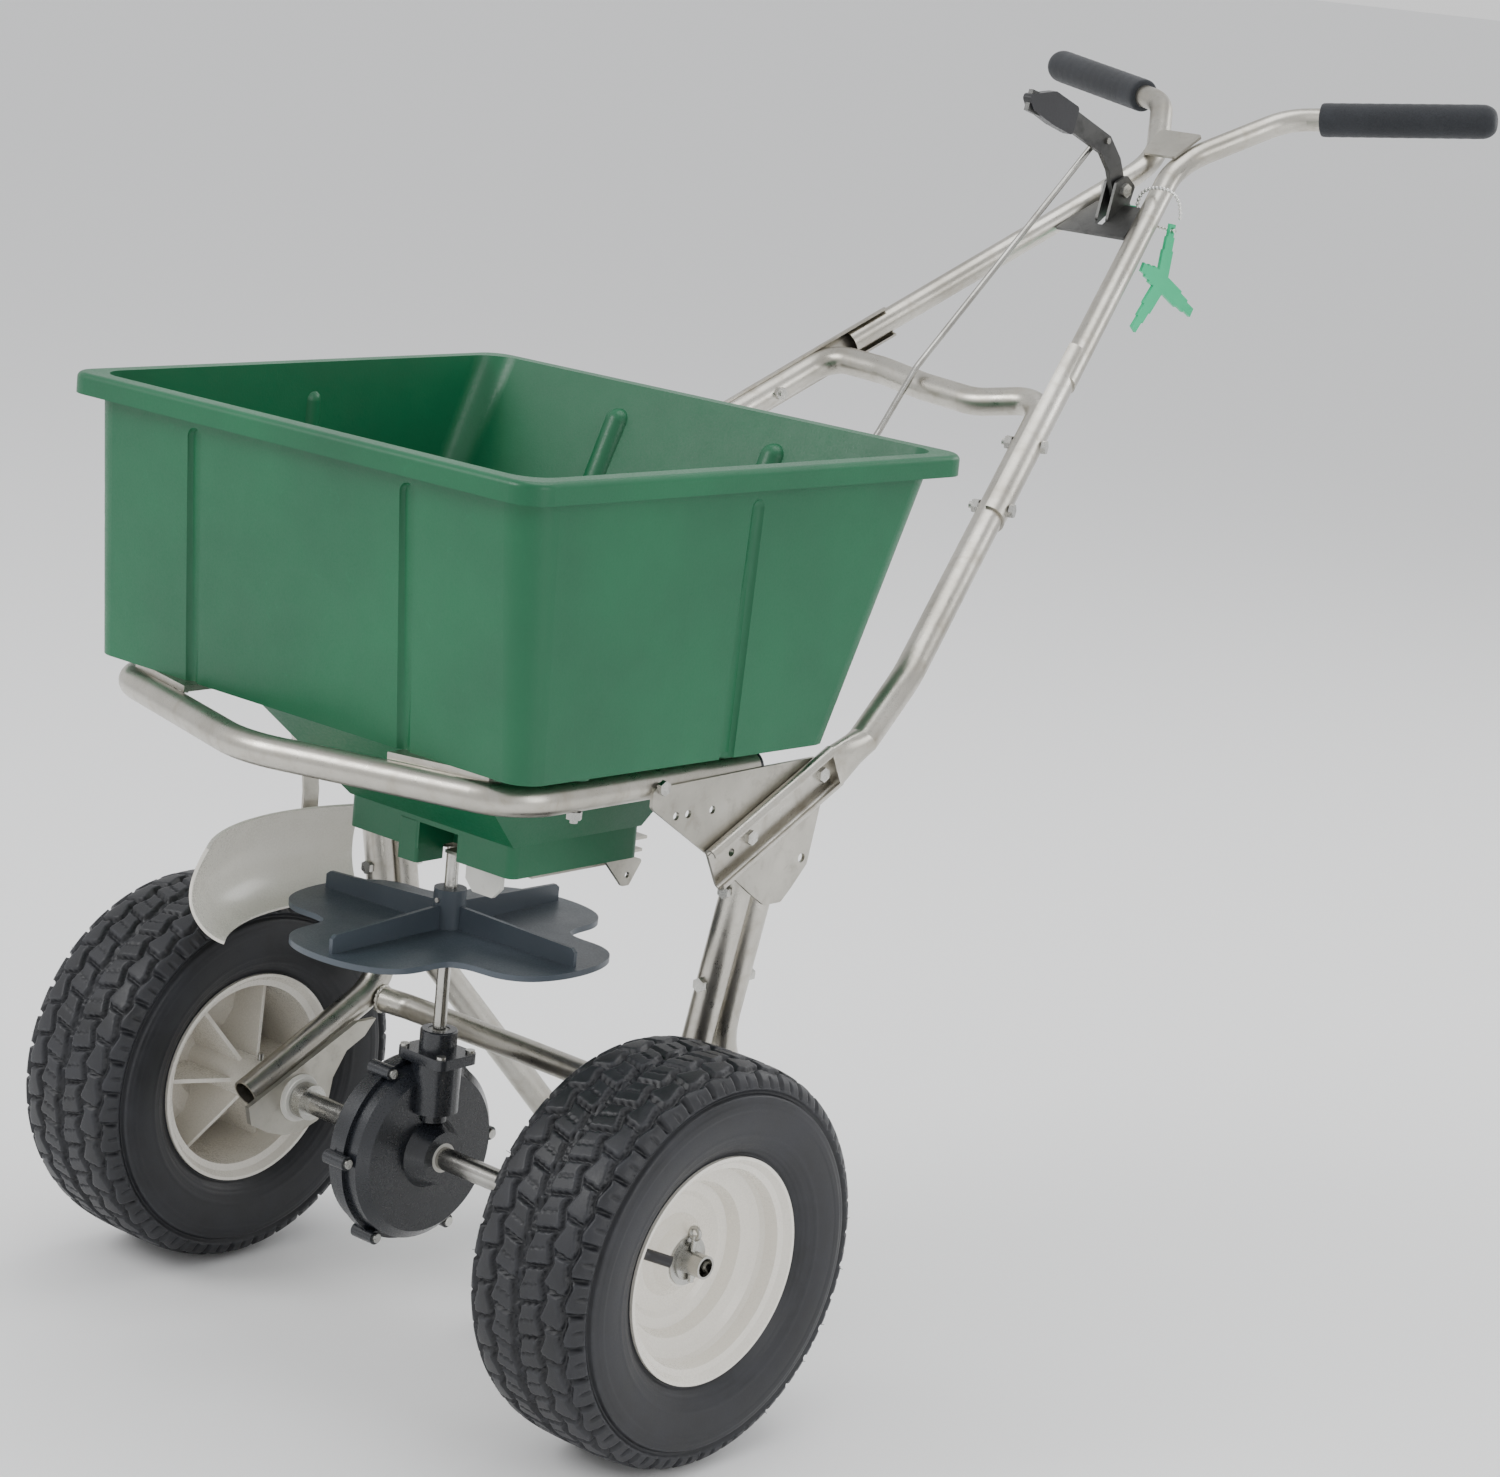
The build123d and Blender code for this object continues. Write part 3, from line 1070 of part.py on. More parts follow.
with BuildPart() as wheel_bushes_left:
    for x0, x1, f0, f1 in ((WHEEL_X + 3, WHEEL_X + 23, WHEEL_X + 23, WHEEL_X + 23.2),
                           (WHEEL_X - 72, WHEEL_X - 52, WHEEL_X - 72 - 5, WHEEL_X - 72)):
        with BuildSketch(wheel_plane()):
            with BuildLine():
                Polyline((x0, AXLE_R + RUN), (x1, AXLE_R + RUN), (x1, HUB_BORE_R), (x0, HUB_BORE_R), close=True)
            make_face()
        revolve(axis=AXLE_AXIS)
wheel_bushes_left.part.label = "wheel_bushes_left"
export_step(wheel_bushes_left.part, "parts/wheel_bushes_left.step")

with BuildPart() as wheel_bushes_right:
    for x0, x1 in ((-WHEEL_X - 23, -WHEEL_X - 3), (-WHEEL_X + 52, -WHEEL_X + 72)):
        with BuildSketch(wheel_plane()):
            with BuildLine():
                Polyline((x0, AXLE_R), (x1, AXLE_R), (x1, HUB_BORE_R), (x0, HUB_BORE_R), close=True)
            make_face()
        revolve(axis=AXLE_AXIS)
    with Locations(Location(at(DRIVE_X, 0, WHEEL_R))):
        Cylinder(2.6, 60, mode=Mode.SUBTRACT)
wheel_bushes_right.part.label = "wheel_bushes_right"
export_step(wheel_bushes_right.part, "parts/wheel_bushes_right.step")

with BuildPart() as valve_stem_left:
    with BuildLine() as stem_path:
        FilletPolyline(valve_at(32.5, 87), valve_at(32.5, 66), valve_at(49, 50), radius=12)
    with BuildSketch(Plane(origin=stem_path.line @ 0, z_dir=stem_path.line % 0)):
        Circle(4.6)
    sweep()
valve_stem_left.part.label = "valve_stem_left"
export_step(valve_stem_left.part, "parts/valve_stem_left.step")

with BuildPart() as valve_stem_right:
    mirror(valve_stem_left.part, about=Plane.YZ)
valve_stem_right.part.label = "valve_stem_right"
export_step(valve_stem_right.part, "parts/valve_stem_right.step")

# ---------------------------------------------------------------- fasteners
# every bolt: point under the head, direction of the shank, grip length
def flipped(p, side):
    return Vector(side * p[0], p[1], p[2])


BOLTS = []
for side in (1, -1):
    for x, y in ((HOOP_X, -100), (HOOP_X, 60)):
        BOLTS.append((flipped(at(x, y, BOX_Z + WALL), side), Vector(0, 0, -1), BOX_Z + WALL - HOOP_Z + TUBE_R))
    BOLTS.append((flipped(at(148, -163.5, BOX_Z + WALL), side), Vector(0, 0, -1), BOX_Z + WALL - HOOP_Z - TUBE_R))
    BOLTS.append((flipped(at(GUSSET_X + GUSSET_T, -22, HOOP_Z), side), Vector(-side, 0, 0),
                  GUSSET_X + GUSSET_T - HOOP_X + TUBE_R))
    for p in G_BOLTS:
        BOLTS.append((flipped(at(CH_X + 2.5, p.Y, p.Z), side), Vector(-side, 0, 0), 2.5 + GUSSET_T))
    for z in LEG_BOLT_Z:
        p = leg_at(z)
        BOLTS.append((flipped(at(p.X, p.Y - TUBE_R, z), side), Vector(0, 1, 0), 28 + 2 * TUBE_R))
    for z in (761, 714):
        p = h_line(z, NEST) + H_OUT * (TUBE_R + 2.2)
        BOLTS.append((flipped((p.X, p.Y, p.Z), side), Vector(-side * H_OUT.X, -H_OUT.Y, 0), 2.2 + 2 * TUBE_R))

with BuildPart() as frame_bolts:
    for head, way, grip in BOLTS:
        with BuildSketch(Plane(origin=head, z_dir=-way)):
            RegularPolygon(AF_R, 6)
        extrude(amount=4.2)
        with BuildSketch(Plane(origin=head, z_dir=way)):
            Circle(BOLT_R)
        extrude(amount=grip + 9)
frame_bolts.part.label = "frame_bolts"
export_step(frame_bolts.part, "parts/frame_bolts.step")

with BuildPart() as lock_nuts:
    for head, way, grip in BOLTS:
        with BuildSketch(Plane(origin=head + way * (grip + 0.01), z_dir=way)):
            RegularPolygon(AF_R, 6)
            Circle(BOLT_R, mode=Mode.SUBTRACT)
        extrude(amount=6)
    with BuildSketch(Plane(origin=at(-7.5, *LEVER_PIVOT), z_dir=(-1, 0, 0))):
        RegularPolygon(7.4, 6)
        Circle(4.0, mode=Mode.SUBTRACT)
    extrude(amount=7)
lock_nuts.part.label = "lock_nuts"
export_step(lock_nuts.part, "parts/lock_nuts.step")

# ---------------------------------------------------------------- calibration key on its bead chain
KEY_X, KEY_T = 58.5, 3.0
KEY_C = (822.0, 888.0)
KEY_ENDS = ((829.0, 943.0), (785.0, 844.0), (877.0, 858.0), (788.0, 903.0))
with BuildPart() as calibration_key:
    with BuildSketch(yz(KEY_X)):
        with Locations(KEY_C):
            Circle(10)
        for ey, ez in KEY_ENDS:
            length = math.hypot(ey - KEY_C[0], ez - KEY_C[1])
            turn = math.degrees(math.atan2(ez - KEY_C[1], ey - KEY_C[0]))
            for part_len, width in ((0.55, 17.0), (0.78, 13.0), (1.0, 9.0)):
                mid = part_len * length / 2
                with Locations(Location((KEY_C[0] + mid * math.cos(math.radians(turn)),
                                         KEY_C[1] + mid * math.sin(math.radians(turn)), 0), (0, 0, turn))):
                    Rectangle(part_len * length, width)
        with Locations((828.4, 937.0)):
            Circle(3.0, mode=Mode.SUBTRACT)
    extrude(amount=KEY_T)
calibration_key.part.label = "calibration_key"
export_step(calibration_key.part, "parts/calibration_key.step")

CHAIN_R = 1.2
CHAIN_Y = 828.4
CHAIN_ROUTE = [(69.0, 948.0), (69.0, 974.5), (18.0, 974.5), (18.0, 937.0), (66.0, 937.0)]
chain_radii = []
for i in range(1, len(CHAIN_ROUTE) - 1):
    before = math.dist(CHAIN_ROUTE[i], CHAIN_ROUTE[i - 1])
    after = math.dist(CHAIN_ROUTE[i], CHAIN_ROUTE[i + 1])
    chain_radii.append(0.45 * min(before, after))
print("bead_chain radii", [round(r, 2) for r in chain_radii])
with BuildPart() as bead_chain:
    with BuildLine() as chain_path:
        FilletPolyline(*[at(x, CHAIN_Y, z) for x, z in CHAIN_ROUTE], radius=chain_radii)
    with BuildSketch(Plane(origin=chain_path.line @ 0, z_dir=chain_path.line % 0)):
        Circle(CHAIN_R)
    sweep()
bead_chain.part.label = "bead_chain"
export_step(bead_chain.part, "parts/bead_chain.step")
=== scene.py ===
import bpy
import bmesh
import json
import math
from mathutils import Vector, Matrix


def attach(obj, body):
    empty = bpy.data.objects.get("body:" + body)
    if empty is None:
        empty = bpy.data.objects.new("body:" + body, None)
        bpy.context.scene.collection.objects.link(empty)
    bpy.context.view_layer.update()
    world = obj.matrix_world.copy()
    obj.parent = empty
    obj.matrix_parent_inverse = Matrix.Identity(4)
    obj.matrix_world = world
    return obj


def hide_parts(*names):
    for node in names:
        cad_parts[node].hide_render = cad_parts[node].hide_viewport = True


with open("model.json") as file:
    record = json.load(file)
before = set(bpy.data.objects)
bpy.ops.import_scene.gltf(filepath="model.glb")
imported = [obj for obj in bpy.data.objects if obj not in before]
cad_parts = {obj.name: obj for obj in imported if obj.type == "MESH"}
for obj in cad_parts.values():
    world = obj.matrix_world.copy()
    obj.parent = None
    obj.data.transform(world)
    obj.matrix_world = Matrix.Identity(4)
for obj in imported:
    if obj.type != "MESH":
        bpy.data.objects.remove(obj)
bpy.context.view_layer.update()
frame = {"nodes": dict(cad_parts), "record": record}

AY = -0.41351
AXZ = 0.165
scene = bpy.context.scene


# ------------------------------------------------------------------ node helpers
def new_mat(name):
    m = bpy.data.materials.new(name)
    m.use_nodes = True
    nt = m.node_tree
    nt.nodes.clear()
    out = nt.nodes.new("ShaderNodeOutputMaterial")
    bsdf = nt.nodes.new("ShaderNodeBsdfPrincipled")
    nt.links.new(bsdf.outputs[0], out.inputs[0])
    return m, nt, bsdf


def coords(nt, scale=(1, 1, 1), rot=(0, 0, 0)):
    tc = nt.nodes.new("ShaderNodeTexCoord")
    mp = nt.nodes.new("ShaderNodeMapping")
    mp.inputs["Scale"].default_value = scale
    mp.inputs["Rotation"].default_value = rot
    nt.links.new(tc.outputs["Object"], mp.inputs["Vector"])
    return mp.outputs[0]


def noise(nt, vec, scale, detail=4.0, rough=0.5, dist=0.0):
    n = nt.nodes.new("ShaderNodeTexNoise")
    n.inputs["Scale"].default_value = scale
    n.inputs["Detail"].default_value = detail
    n.inputs["Roughness"].default_value = rough
    n.inputs["Distortion"].default_value = dist
    nt.links.new(vec, n.inputs["Vector"])
    return n.outputs["Fac"]


def voronoi(nt, vec, scale, feature="F1"):
    n = nt.nodes.new("ShaderNodeTexVoronoi")
    n.feature = feature
    n.inputs["Scale"].default_value = scale
    nt.links.new(vec, n.inputs["Vector"])
    return n.outputs["Distance"]


def remap(nt, val, a, b, lo, hi):
    n = nt.nodes.new("ShaderNodeMapRange")
    n.inputs["From Min"].default_value = a
    n.inputs["From Max"].default_value = b
    n.inputs["To Min"].default_value = lo
    n.inputs["To Max"].default_value = hi
    nt.links.new(val, n.inputs["Value"])
    return n.outputs["Result"]


def mix(nt, fac, a, b):
    n = nt.nodes.new("ShaderNodeMix")
    n.data_type = "RGBA"
    n.clamp_factor = True
    nt.links.new(fac, n.inputs["Factor"])
    for sock, val in ((n.inputs["A"], a), (n.inputs["B"], b)):
        if isinstance(val, (tuple, list)):
            sock.default_value = (*val, 1.0)
        else:
            nt.links.new(val, sock)
    return n.outputs["Result"]


def add(nt, a, b, op="ADD"):
    n = nt.nodes.new("ShaderNodeMath")
    n.operation = op
    for i, v in enumerate((a, b)):
        if isinstance(v, (int, float)):
            n.inputs[i].default_value = v
        else:
            nt.links.new(v, n.inputs[i])
    return n.outputs[0]


def bump(nt, bsdf, height, strength=0.2, dist=0.001):
    n = nt.nodes.new("ShaderNodeBump")
    n.inputs["Strength"].default_value = strength
    n.inputs["Distance"].default_value = dist
    nt.links.new(height, n.inputs["Height"])
    nt.links.new(n.outputs[0], bsdf.inputs["Normal"])


def edge_wear(nt, vec, sharp=0.55):
    """Worn edges from the surface's own shape."""
    g = nt.nodes.new("ShaderNodeNewGeometry")
    return remap(nt, g.outputs["Pointiness"], 0.50, sharp, 0.0, 1.0)


def srgb(r, g, b):
    def f(c):
        c /= 255.0
        return c / 12.92 if c <= 0.04045 else ((c + 0.055) / 1.055) ** 2.4
    return (f(r), f(g), f(b))


def metal(name, dark, light, rough=(0.25, 0.42), brush=(1, 1, 1), brush_scale=900.0, bump_s=0.08, tint=None):
    m, nt, b = new_mat(name)
    v = coords(nt)
    vb = coords(nt, brush)
    big = noise(nt, v, 9.0, 5.0, 0.6)
    fine = noise(nt, vb, brush_scale, 3.0, 0.55)
    smear = noise(nt, v, 55.0, 6.0, 0.65, 0.4)
    col = mix(nt, remap(nt, big, 0.3, 0.72, 0.0, 1.0), dark, light)
    if tint:
        col = mix(nt, remap(nt, smear, 0.52, 0.75, 0.0, 0.55), col, tint)
    nt.links.new(col, b.inputs["Base Color"])
    r = add(nt, remap(nt, fine, 0.25, 0.75, rough[0], rough[1]), remap(nt, smear, 0.35, 0.75, -0.03, 0.09))
    nt.links.new(r, b.inputs["Roughness"])
    b.inputs["Metallic"].default_value = 1.0
    bump(nt, b, add(nt, fine, add(nt, smear, 0.6, "MULTIPLY")), bump_s, 0.0006)
    return m


def plastic(name, dark, light, rough, coat=0.0, grain=700.0, bump_s=0.12, spec=0.5, scuff=None, sheen=0.0):
    m, nt, b = new_mat(name)
    v = coords(nt)
    big = noise(nt, v, 5.0, 4.0, 0.55)
    fine = noise(nt, v, grain, 4.0, 0.6)
    wave = noise(nt, v, 38.0, 3.0, 0.5)
    col = mix(nt, remap(nt, big, 0.3, 0.7, 0.0, 1.0), dark, light)
    if scuff:
        marks = noise(nt, coords(nt, (1.0, 7.0, 1.0), (0.3, 0.5, 0.9)), 90.0, 6.0, 0.7, 0.8)
        col = mix(nt, remap(nt, marks, 0.62, 0.80, 0.0, 0.5), col, scuff)
    nt.links.new(col, b.inputs["Base Color"])
    nt.links.new(add(nt, remap(nt, fine, 0.3, 0.7, rough[0], rough[1]), remap(nt, wave, 0.3, 0.7, -0.03, 0.03)),
                 b.inputs["Roughness"])
    b.inputs["Specular IOR Level"].default_value = spec
    b.inputs["Coat Weight"].default_value = coat
    b.inputs["Coat Roughness"].default_value = 0.15
    b.inputs["Sheen Weight"].default_value = sheen
    bump(nt, b, add(nt, fine, add(nt, wave, 1.4, "MULTIPLY")), bump_s, 0.0007)
    return m


M = {}
M["frame_steel"] = metal("frame_steel", srgb(168, 164, 154), srgb(206, 203, 195), (0.24, 0.38), (1, 1, 1), 1500.0, 0.05,
                         srgb(150, 140, 122))
M["plate_steel"] = metal("plate_steel", srgb(160, 157, 148), srgb(199, 196, 187), (0.30, 0.46), (6, 1, 1), 420.0, 0.07,
                         srgb(140, 134, 122))
M["zinc_fasteners"] = metal("zinc_fasteners", srgb(150, 150, 147), srgb(215, 214, 208), (0.20, 0.36), (1, 1, 1), 900.0, 0.06,
                            srgb(122, 112, 96))
M["rod_wire"] = metal("rod_wire", srgb(150, 148, 142), srgb(205, 204, 199), (0.16, 0.28), (1, 1, 1), 1400.0, 0.04,
                      srgb(120, 112, 100))
M["chain_metal"] = metal("chain_metal", srgb(190, 190, 188), srgb(230, 230, 226), (0.10, 0.2), (1, 1, 1), 1200.0, 0.03)
M["dark_steel"] = metal("dark_steel", srgb(70, 70, 70), srgb(112, 112, 110), (0.30, 0.48), (1, 1, 1), 800.0, 0.08,
                        srgb(45, 45, 46))
M["green_plastic"] = plastic("green_plastic", srgb(0, 82, 50), srgb(3, 98, 60), (0.36, 0.52), 0.06, 520.0, 0.16, 0.45,
                             srgb(14, 112, 74))
M["cream_plastic"] = plastic("cream_plastic", srgb(221, 216, 205), srgb(233, 229, 220), (0.22, 0.34), 0.25, 620.0, 0.05, 0.5,
                             srgb(196, 190, 178))
M["grey_plastic"] = plastic("grey_plastic", srgb(56, 64, 72), srgb(74, 83, 92), (0.34, 0.5), 0.05, 700.0, 0.12, 0.5,
                            srgb(92, 102, 110))
M["black_plastic"] = plastic("black_plastic", srgb(20, 22, 26), srgb(34, 37, 43), (0.22, 0.38), 0.2, 560.0, 0.12, 0.5,
                             srgb(52, 56, 64))
M["white_nylon"] = plastic("white_nylon", srgb(205, 203, 196), srgb(226, 225, 219), (0.38, 0.52), 0.0, 800.0, 0.06, 0.5,
                           srgb(180, 176, 166))
M["mint_plastic"] = plastic("mint_plastic", srgb(2, 172, 116), srgb(16, 190, 132), (0.34, 0.48), 0.1, 800.0, 0.08, 0.5,
                            srgb(60, 204, 156))
M["black_vinyl"] = plastic("black_vinyl", srgb(22, 22, 24), srgb(38, 38, 41), (0.30, 0.48), 0.1, 380.0, 0.18, 0.5,
                           srgb(58, 58, 60))


def foam_mat():
    m, nt, b = new_mat("black_foam")
    v = coords(nt)
    pores = voronoi(nt, v, 1100.0)
    fuzz = noise(nt, v, 420.0, 6.0, 0.7)
    big = noise(nt, v, 16.0, 4.0, 0.6)
    col = mix(nt, remap(nt, pores, 0.05, 0.5, 0.0, 1.0), srgb(13, 14, 16), srgb(40, 42, 46))
    col = mix(nt, remap(nt, big, 0.45, 0.72, 0.0, 0.5), col, srgb(54, 57, 62))
    nt.links.new(col, b.inputs["Base Color"])
    nt.links.new(remap(nt, fuzz, 0.3, 0.7, 0.72, 0.92), b.inputs["Roughness"])
    b.inputs["Sheen Weight"].default_value = 0.15
    b.inputs["Specular IOR Level"].default_value = 0.3
    bump(nt, b, add(nt, pores, fuzz), 0.35, 0.0008)
    return m


def tyre_mat():
    m, nt, b = new_mat("tyre_rubber")
    v = coords(nt)
    fine = noise(nt, v, 900.0, 5.0, 0.65)
    dust = noise(nt, v, 24.0, 6.0, 0.65, 0.3)
    scuff = noise(nt, v, 120.0, 5.0, 0.7)
    col = mix(nt, remap(nt, dust, 0.35, 0.7, 0.0, 1.0), srgb(22, 23, 26), srgb(38, 39, 44))
    wear = edge_wear(nt, v, 0.62)
    col = mix(nt, add(nt, wear, remap(nt, scuff, 0.4, 0.7, 0.05, 0.55), "MULTIPLY"), col, srgb(72, 74, 80))
    nt.links.new(col, b.inputs["Base Color"])
    nt.links.new(add(nt, remap(nt, fine, 0.3, 0.7, 0.36, 0.5), remap(nt, dust, 0.3, 0.7, -0.04, 0.12)), b.inputs["Roughness"])
    b.inputs["Specular IOR Level"].default_value = 0.45
    bump(nt, b, add(nt, fine, scuff), 0.16, 0.0007)
    return m


M["black_foam"] = foam_mat()
M["tyre_rubber"] = tyre_mat()

slots = {s["node"]: s["material_slot"] for s in frame["record"]["subparts"]}


for node, slot in slots.items():
    o = frame["nodes"][node]
    if not o.material_slots:
        o.data.materials.append(M[slot])
    for s in o.material_slots:
        s.material = M[slot]


# ------------------------------------------------------------------ mesh helpers
def piece(name, verts, faces, body, slot, smooth=True, replaces=()):
    me = bpy.data.meshes.new(name)
    me.from_pydata([tuple(v) for v in verts], [], faces)
    me.validate()
    me.update()
    for p in me.polygons:
        p.use_smooth = smooth
    ob = bpy.data.objects.new(name, me)
    scene.collection.objects.link(ob)
    ob.data.materials.append(M[slot])
    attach(ob, body)
    if replaces:
        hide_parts(*replaces)
    return ob


def catmull(pts, per):
    """Smooth points through a closed list of (u, r) points."""
    out = []
    n = len(pts)
    for i in range(n - 1):
        p0 = pts[max(i - 1, 0)]
        p1, p2 = pts[i], pts[i + 1]
        p3 = pts[min(i + 2, n - 1)]
        for k in range(per):
            t = k / per
            out.append(tuple(0.5 * ((2 * b) + (-a + c) * t + (2 * a - 5 * b + 4 * c - d) * t * t
                                    + (-a + 3 * b - 3 * c + d) * t ** 3)
                             for a, b, c, d in zip(p0, p1, p2, p3)))
    out.append(pts[-1])
    return out


def smoothstep(a, b, x):
    t = max(0.0, min(1.0, (x - a) / (b - a)))
    return t * t * (3 - 2 * t)


PITCH = 36           # tread pitches round the tyre
DEPTH = 0.0052


def tread(u, ph):
    """Groove depth fraction at u (-1 to 1 across the tread) and phase ph (0 to 1 in one pitch)."""
    side = 1 if u >= 0 else -1
    a = abs(u)
    if side < 0:
        ph = (ph + 0.5) % 1.0
    tri = abs(2 * ((ph + 0.25) % 1.0) - 1) * 2 - 1          # zigzag -1..1
    # zigzag circumferential grooves
    c0 = a - (0.035 + 0.0 * tri)
    c1 = a - (0.40 + 0.045 * tri)
    c2 = a - (0.72 - 0.035 * tri)
    g = 0.0
    g = max(g, 1 - smoothstep(0.012, 0.05, abs(c0 + 0.03 * tri)))
    g = max(g, 1 - smoothstep(0.022, 0.055, abs(c1)))
    g = max(g, 0.9 * (1 - smoothstep(0.018, 0.05, abs(c2))))
    # cross grooves, one set per row
    if c1 < 0:
        x = (ph + 0.55 * (a - 0.2)) % 1.0
        d = min(x, 1 - x)
        g = max(g, 1 - smoothstep(0.035, 0.085, d))
        s = abs(((ph + 0.55 * (a - 0.2) + 0.5) % 1.0) - 0.0)
        s = min(s, 1 - s)
        if 0.10 < a < 0.30:
            g = max(g, 0.35 * (1 - smoothstep(0.012, 0.035, s)))
    elif c2 < 0:
        x = (ph + 0.5 - 0.45 * (a - 0.56)) % 1.0
        d = min(x, 1 - x)
        g = max(g, 1 - smoothstep(0.035, 0.085, d))
    else:
        x = (ph * 1.0 + 0.12 * (a - 0.85)) % 1.0
        d = min(x, 1 - x)
        g = max(g, smoothstep(0.70, 0.78, a) * (1 - smoothstep(0.045, 0.10, d)))
        x2 = (x + 0.5) % 1.0
        d2 = min(x2, 1 - x2)
        g = max(g, 0.55 * smoothstep(0.82, 0.9, a) * (1 - smoothstep(0.02, 0.06, d2)))
    return g


HALF = [(44.5, 84.0), (45.5, 88.0), (50.5, 89.8), (51.0, 93.0), (54.5, 98.0), (59.5, 107.0), (62.3, 118.0), (63.2, 129.0),
        (62.2, 140.0), (59.6, 149.5), (55.5, 156.5), (49.0, 161.2), (38.0, 163.8), (22.0, 164.8), (0.0, 165.0)]


def build_tyre(name, sign, body, node, cad_r):
    left = catmull([(-u, r) for u, r in HALF], 7)
    right = [(-u, r) for u, r in left[::-1]][1:]
    # finer steps over the tread
    prof = left + right
    dense = []
    for i in range(len(prof) - 1):
        (u0, r0), (u1, r1) = prof[i], prof[i + 1]
        steps = 1
        if r0 > 148 and r1 > 148:
            steps = max(1, int(math.hypot(u1 - u0, r1 - r0) / 1.05))
        for k in range(steps):
            t = k / steps
            dense.append((u0 + (u1 - u0) * t, r0 + (r1 - r0) * t))
    dense.append(prof[-1])
    # distance along the crown from the middle, for the tread's width
    n = len(dense)
    arc = [0.0]
    for i in range(1, n):
        arc.append(arc[-1] + math.hypot(dense[i][0] - dense[i - 1][0], dense[i][1] - dense[i - 1][1]))
    mid = arc[-1] / 2
    half_w = 66.0
    NT = PITCH * 18
    verts, faces = [], []
    inner = [(38.0, 84.0), (-38.0, 84.0)]
    for j in range(NT):
        th = 2 * math.pi * j / NT
        ph = (j / 18.0) % 1.0
        for i, (u, r) in enumerate(dense):
            s = (arc[i] - mid) / half_w
            if i == 0 or i == n - 1:
                du, dr = 0.0, 1.0
            else:
                tu, tr = dense[i + 1][0] - dense[i - 1][0], dense[i + 1][1] - dense[i - 1][1]
                ln = math.hypot(tu, tr) or 1.0
                du, dr = -tr / ln, tu / ln
            off = 0.0
            if abs(s) <= 1.0:
                fade = 1 - smoothstep(0.93, 1.0, abs(s))
                off = -tread(s, ph) * DEPTH * 1000 * (0.35 + 0.65 * fade) * (1.0 if abs(s) < 0.98 else 0.3)
            elif abs(s) < 1.09:
                off = -0.9 * DEPTH * 1000 * smoothstep(1.0, 1.03, abs(s)) * (1 - smoothstep(1.05, 1.09, abs(s)))
            # mould rings on the sidewall
            for ring, h in ((100.5, 0.5), (104.0, 0.5), (112.0, 0.7), (134.0, 0.6), (137.0, 0.6)):
                if r < 145:
                    off += h * math.exp(-((r - ring) / 0.9) ** 2) - 0.0
            if r < 145:
                off -= 0.75
            if r < 94:
                off = 0.0
            uu, rr = u + du * off, r + dr * off
            verts.append((sign * (0.274 + uu / 1000 * sign * sign * 1.0) if sign > 0 else -(0.274 + uu / 1000),
                          AY + rr / 1000 * math.cos(th), AXZ + rr / 1000 * math.sin(th)))
    for j in range(NT):
        a, b = j * n, ((j + 1) % NT) * n
        for i in range(n - 1):
            f = (a + i, a + i + 1, b + i + 1, b + i)
            faces.append(f if sign < 0 else f[::-1])
        # close the bead across the well
        f = (a + n - 1, a, b, b + n - 1)
        faces.append(f if sign < 0 else f[::-1])
    return piece(name, verts, faces, body, "tyre_rubber", True, (node,))


build_tyre("tyre_left_treaded", 1, "free_wheel", "tyre_left", 0.165)
build_tyre("tyre_right_treaded", -1, "drive_axle", "tyre_right", 0.165)


def hair_strip(name, sign, body):
    """Vent hairs left by the mould, on the shoulders of a tyre."""
    verts, faces = [], []
    for k in range(22):
        for inner in (1, -1):
            th = 2 * math.pi * (k + (0.31 if inner > 0 else 0.77) + 0.13 * math.sin(k * 2.4)) / 22
            lean = 0.25 * math.sin(k * 5.1)
            base = Vector((sign * (0.274 + inner * 0.0590), AY + 0.1495 * math.cos(th), AXZ + 0.1495 * math.sin(th)))
            rad = Vector((0, math.cos(th), math.sin(th)))
            tang = Vector((0, -math.sin(th), math.cos(th)))
            out = (rad * 0.85 + Vector((sign * inner, 0, 0)) * 0.55 + tang * lean).normalized()
            e1 = out.cross(tang).normalized()
            e2 = out.cross(e1).normalized()
            b0 = len(verts)
            L = 0.0045 + 0.001 * math.sin(k * 3.3)
            for s_ in (0.0, 0.55, 1.0):
                bend = tang * (0.0012 * s_ * s_ * math.cos(k))
                rad_h = 0.00038 * (1 - 0.6 * s_)
                for q in range(5):
                    a = 2 * math.pi * q / 5
                    verts.append(base - out * 0.001 + out * (L * s_) + bend + (e1 * math.cos(a) + e2 * math.sin(a)) * rad_h)
            for lv in range(2):
                for q in range(5):
                    faces.append((b0 + lv * 5 + q, b0 + lv * 5 + (q + 1) % 5, b0 + lv * 5 + 5 + (q + 1) % 5, b0 + lv * 5 + 5 + q))
            faces.append(tuple(b0 + q for q in range(5))[::-1])
            faces.append(tuple(b0 + 10 + q for q in range(5)))
    return piece(name, verts, faces, body, "tyre_rubber")


hair_strip("tyre_left_vent_hairs", 1, "free_wheel")
hair_strip("tyre_right_vent_hairs", -1, "drive_axle")

# ------------------------------------------------------------------ foam grips
GD = Vector((262.5 - 75, 1050.5 - 981, 1066.5 - 1046)).normalized()
G0 = Vector((0.075, AY + 0.981, 1.046)) + GD * 0.0327


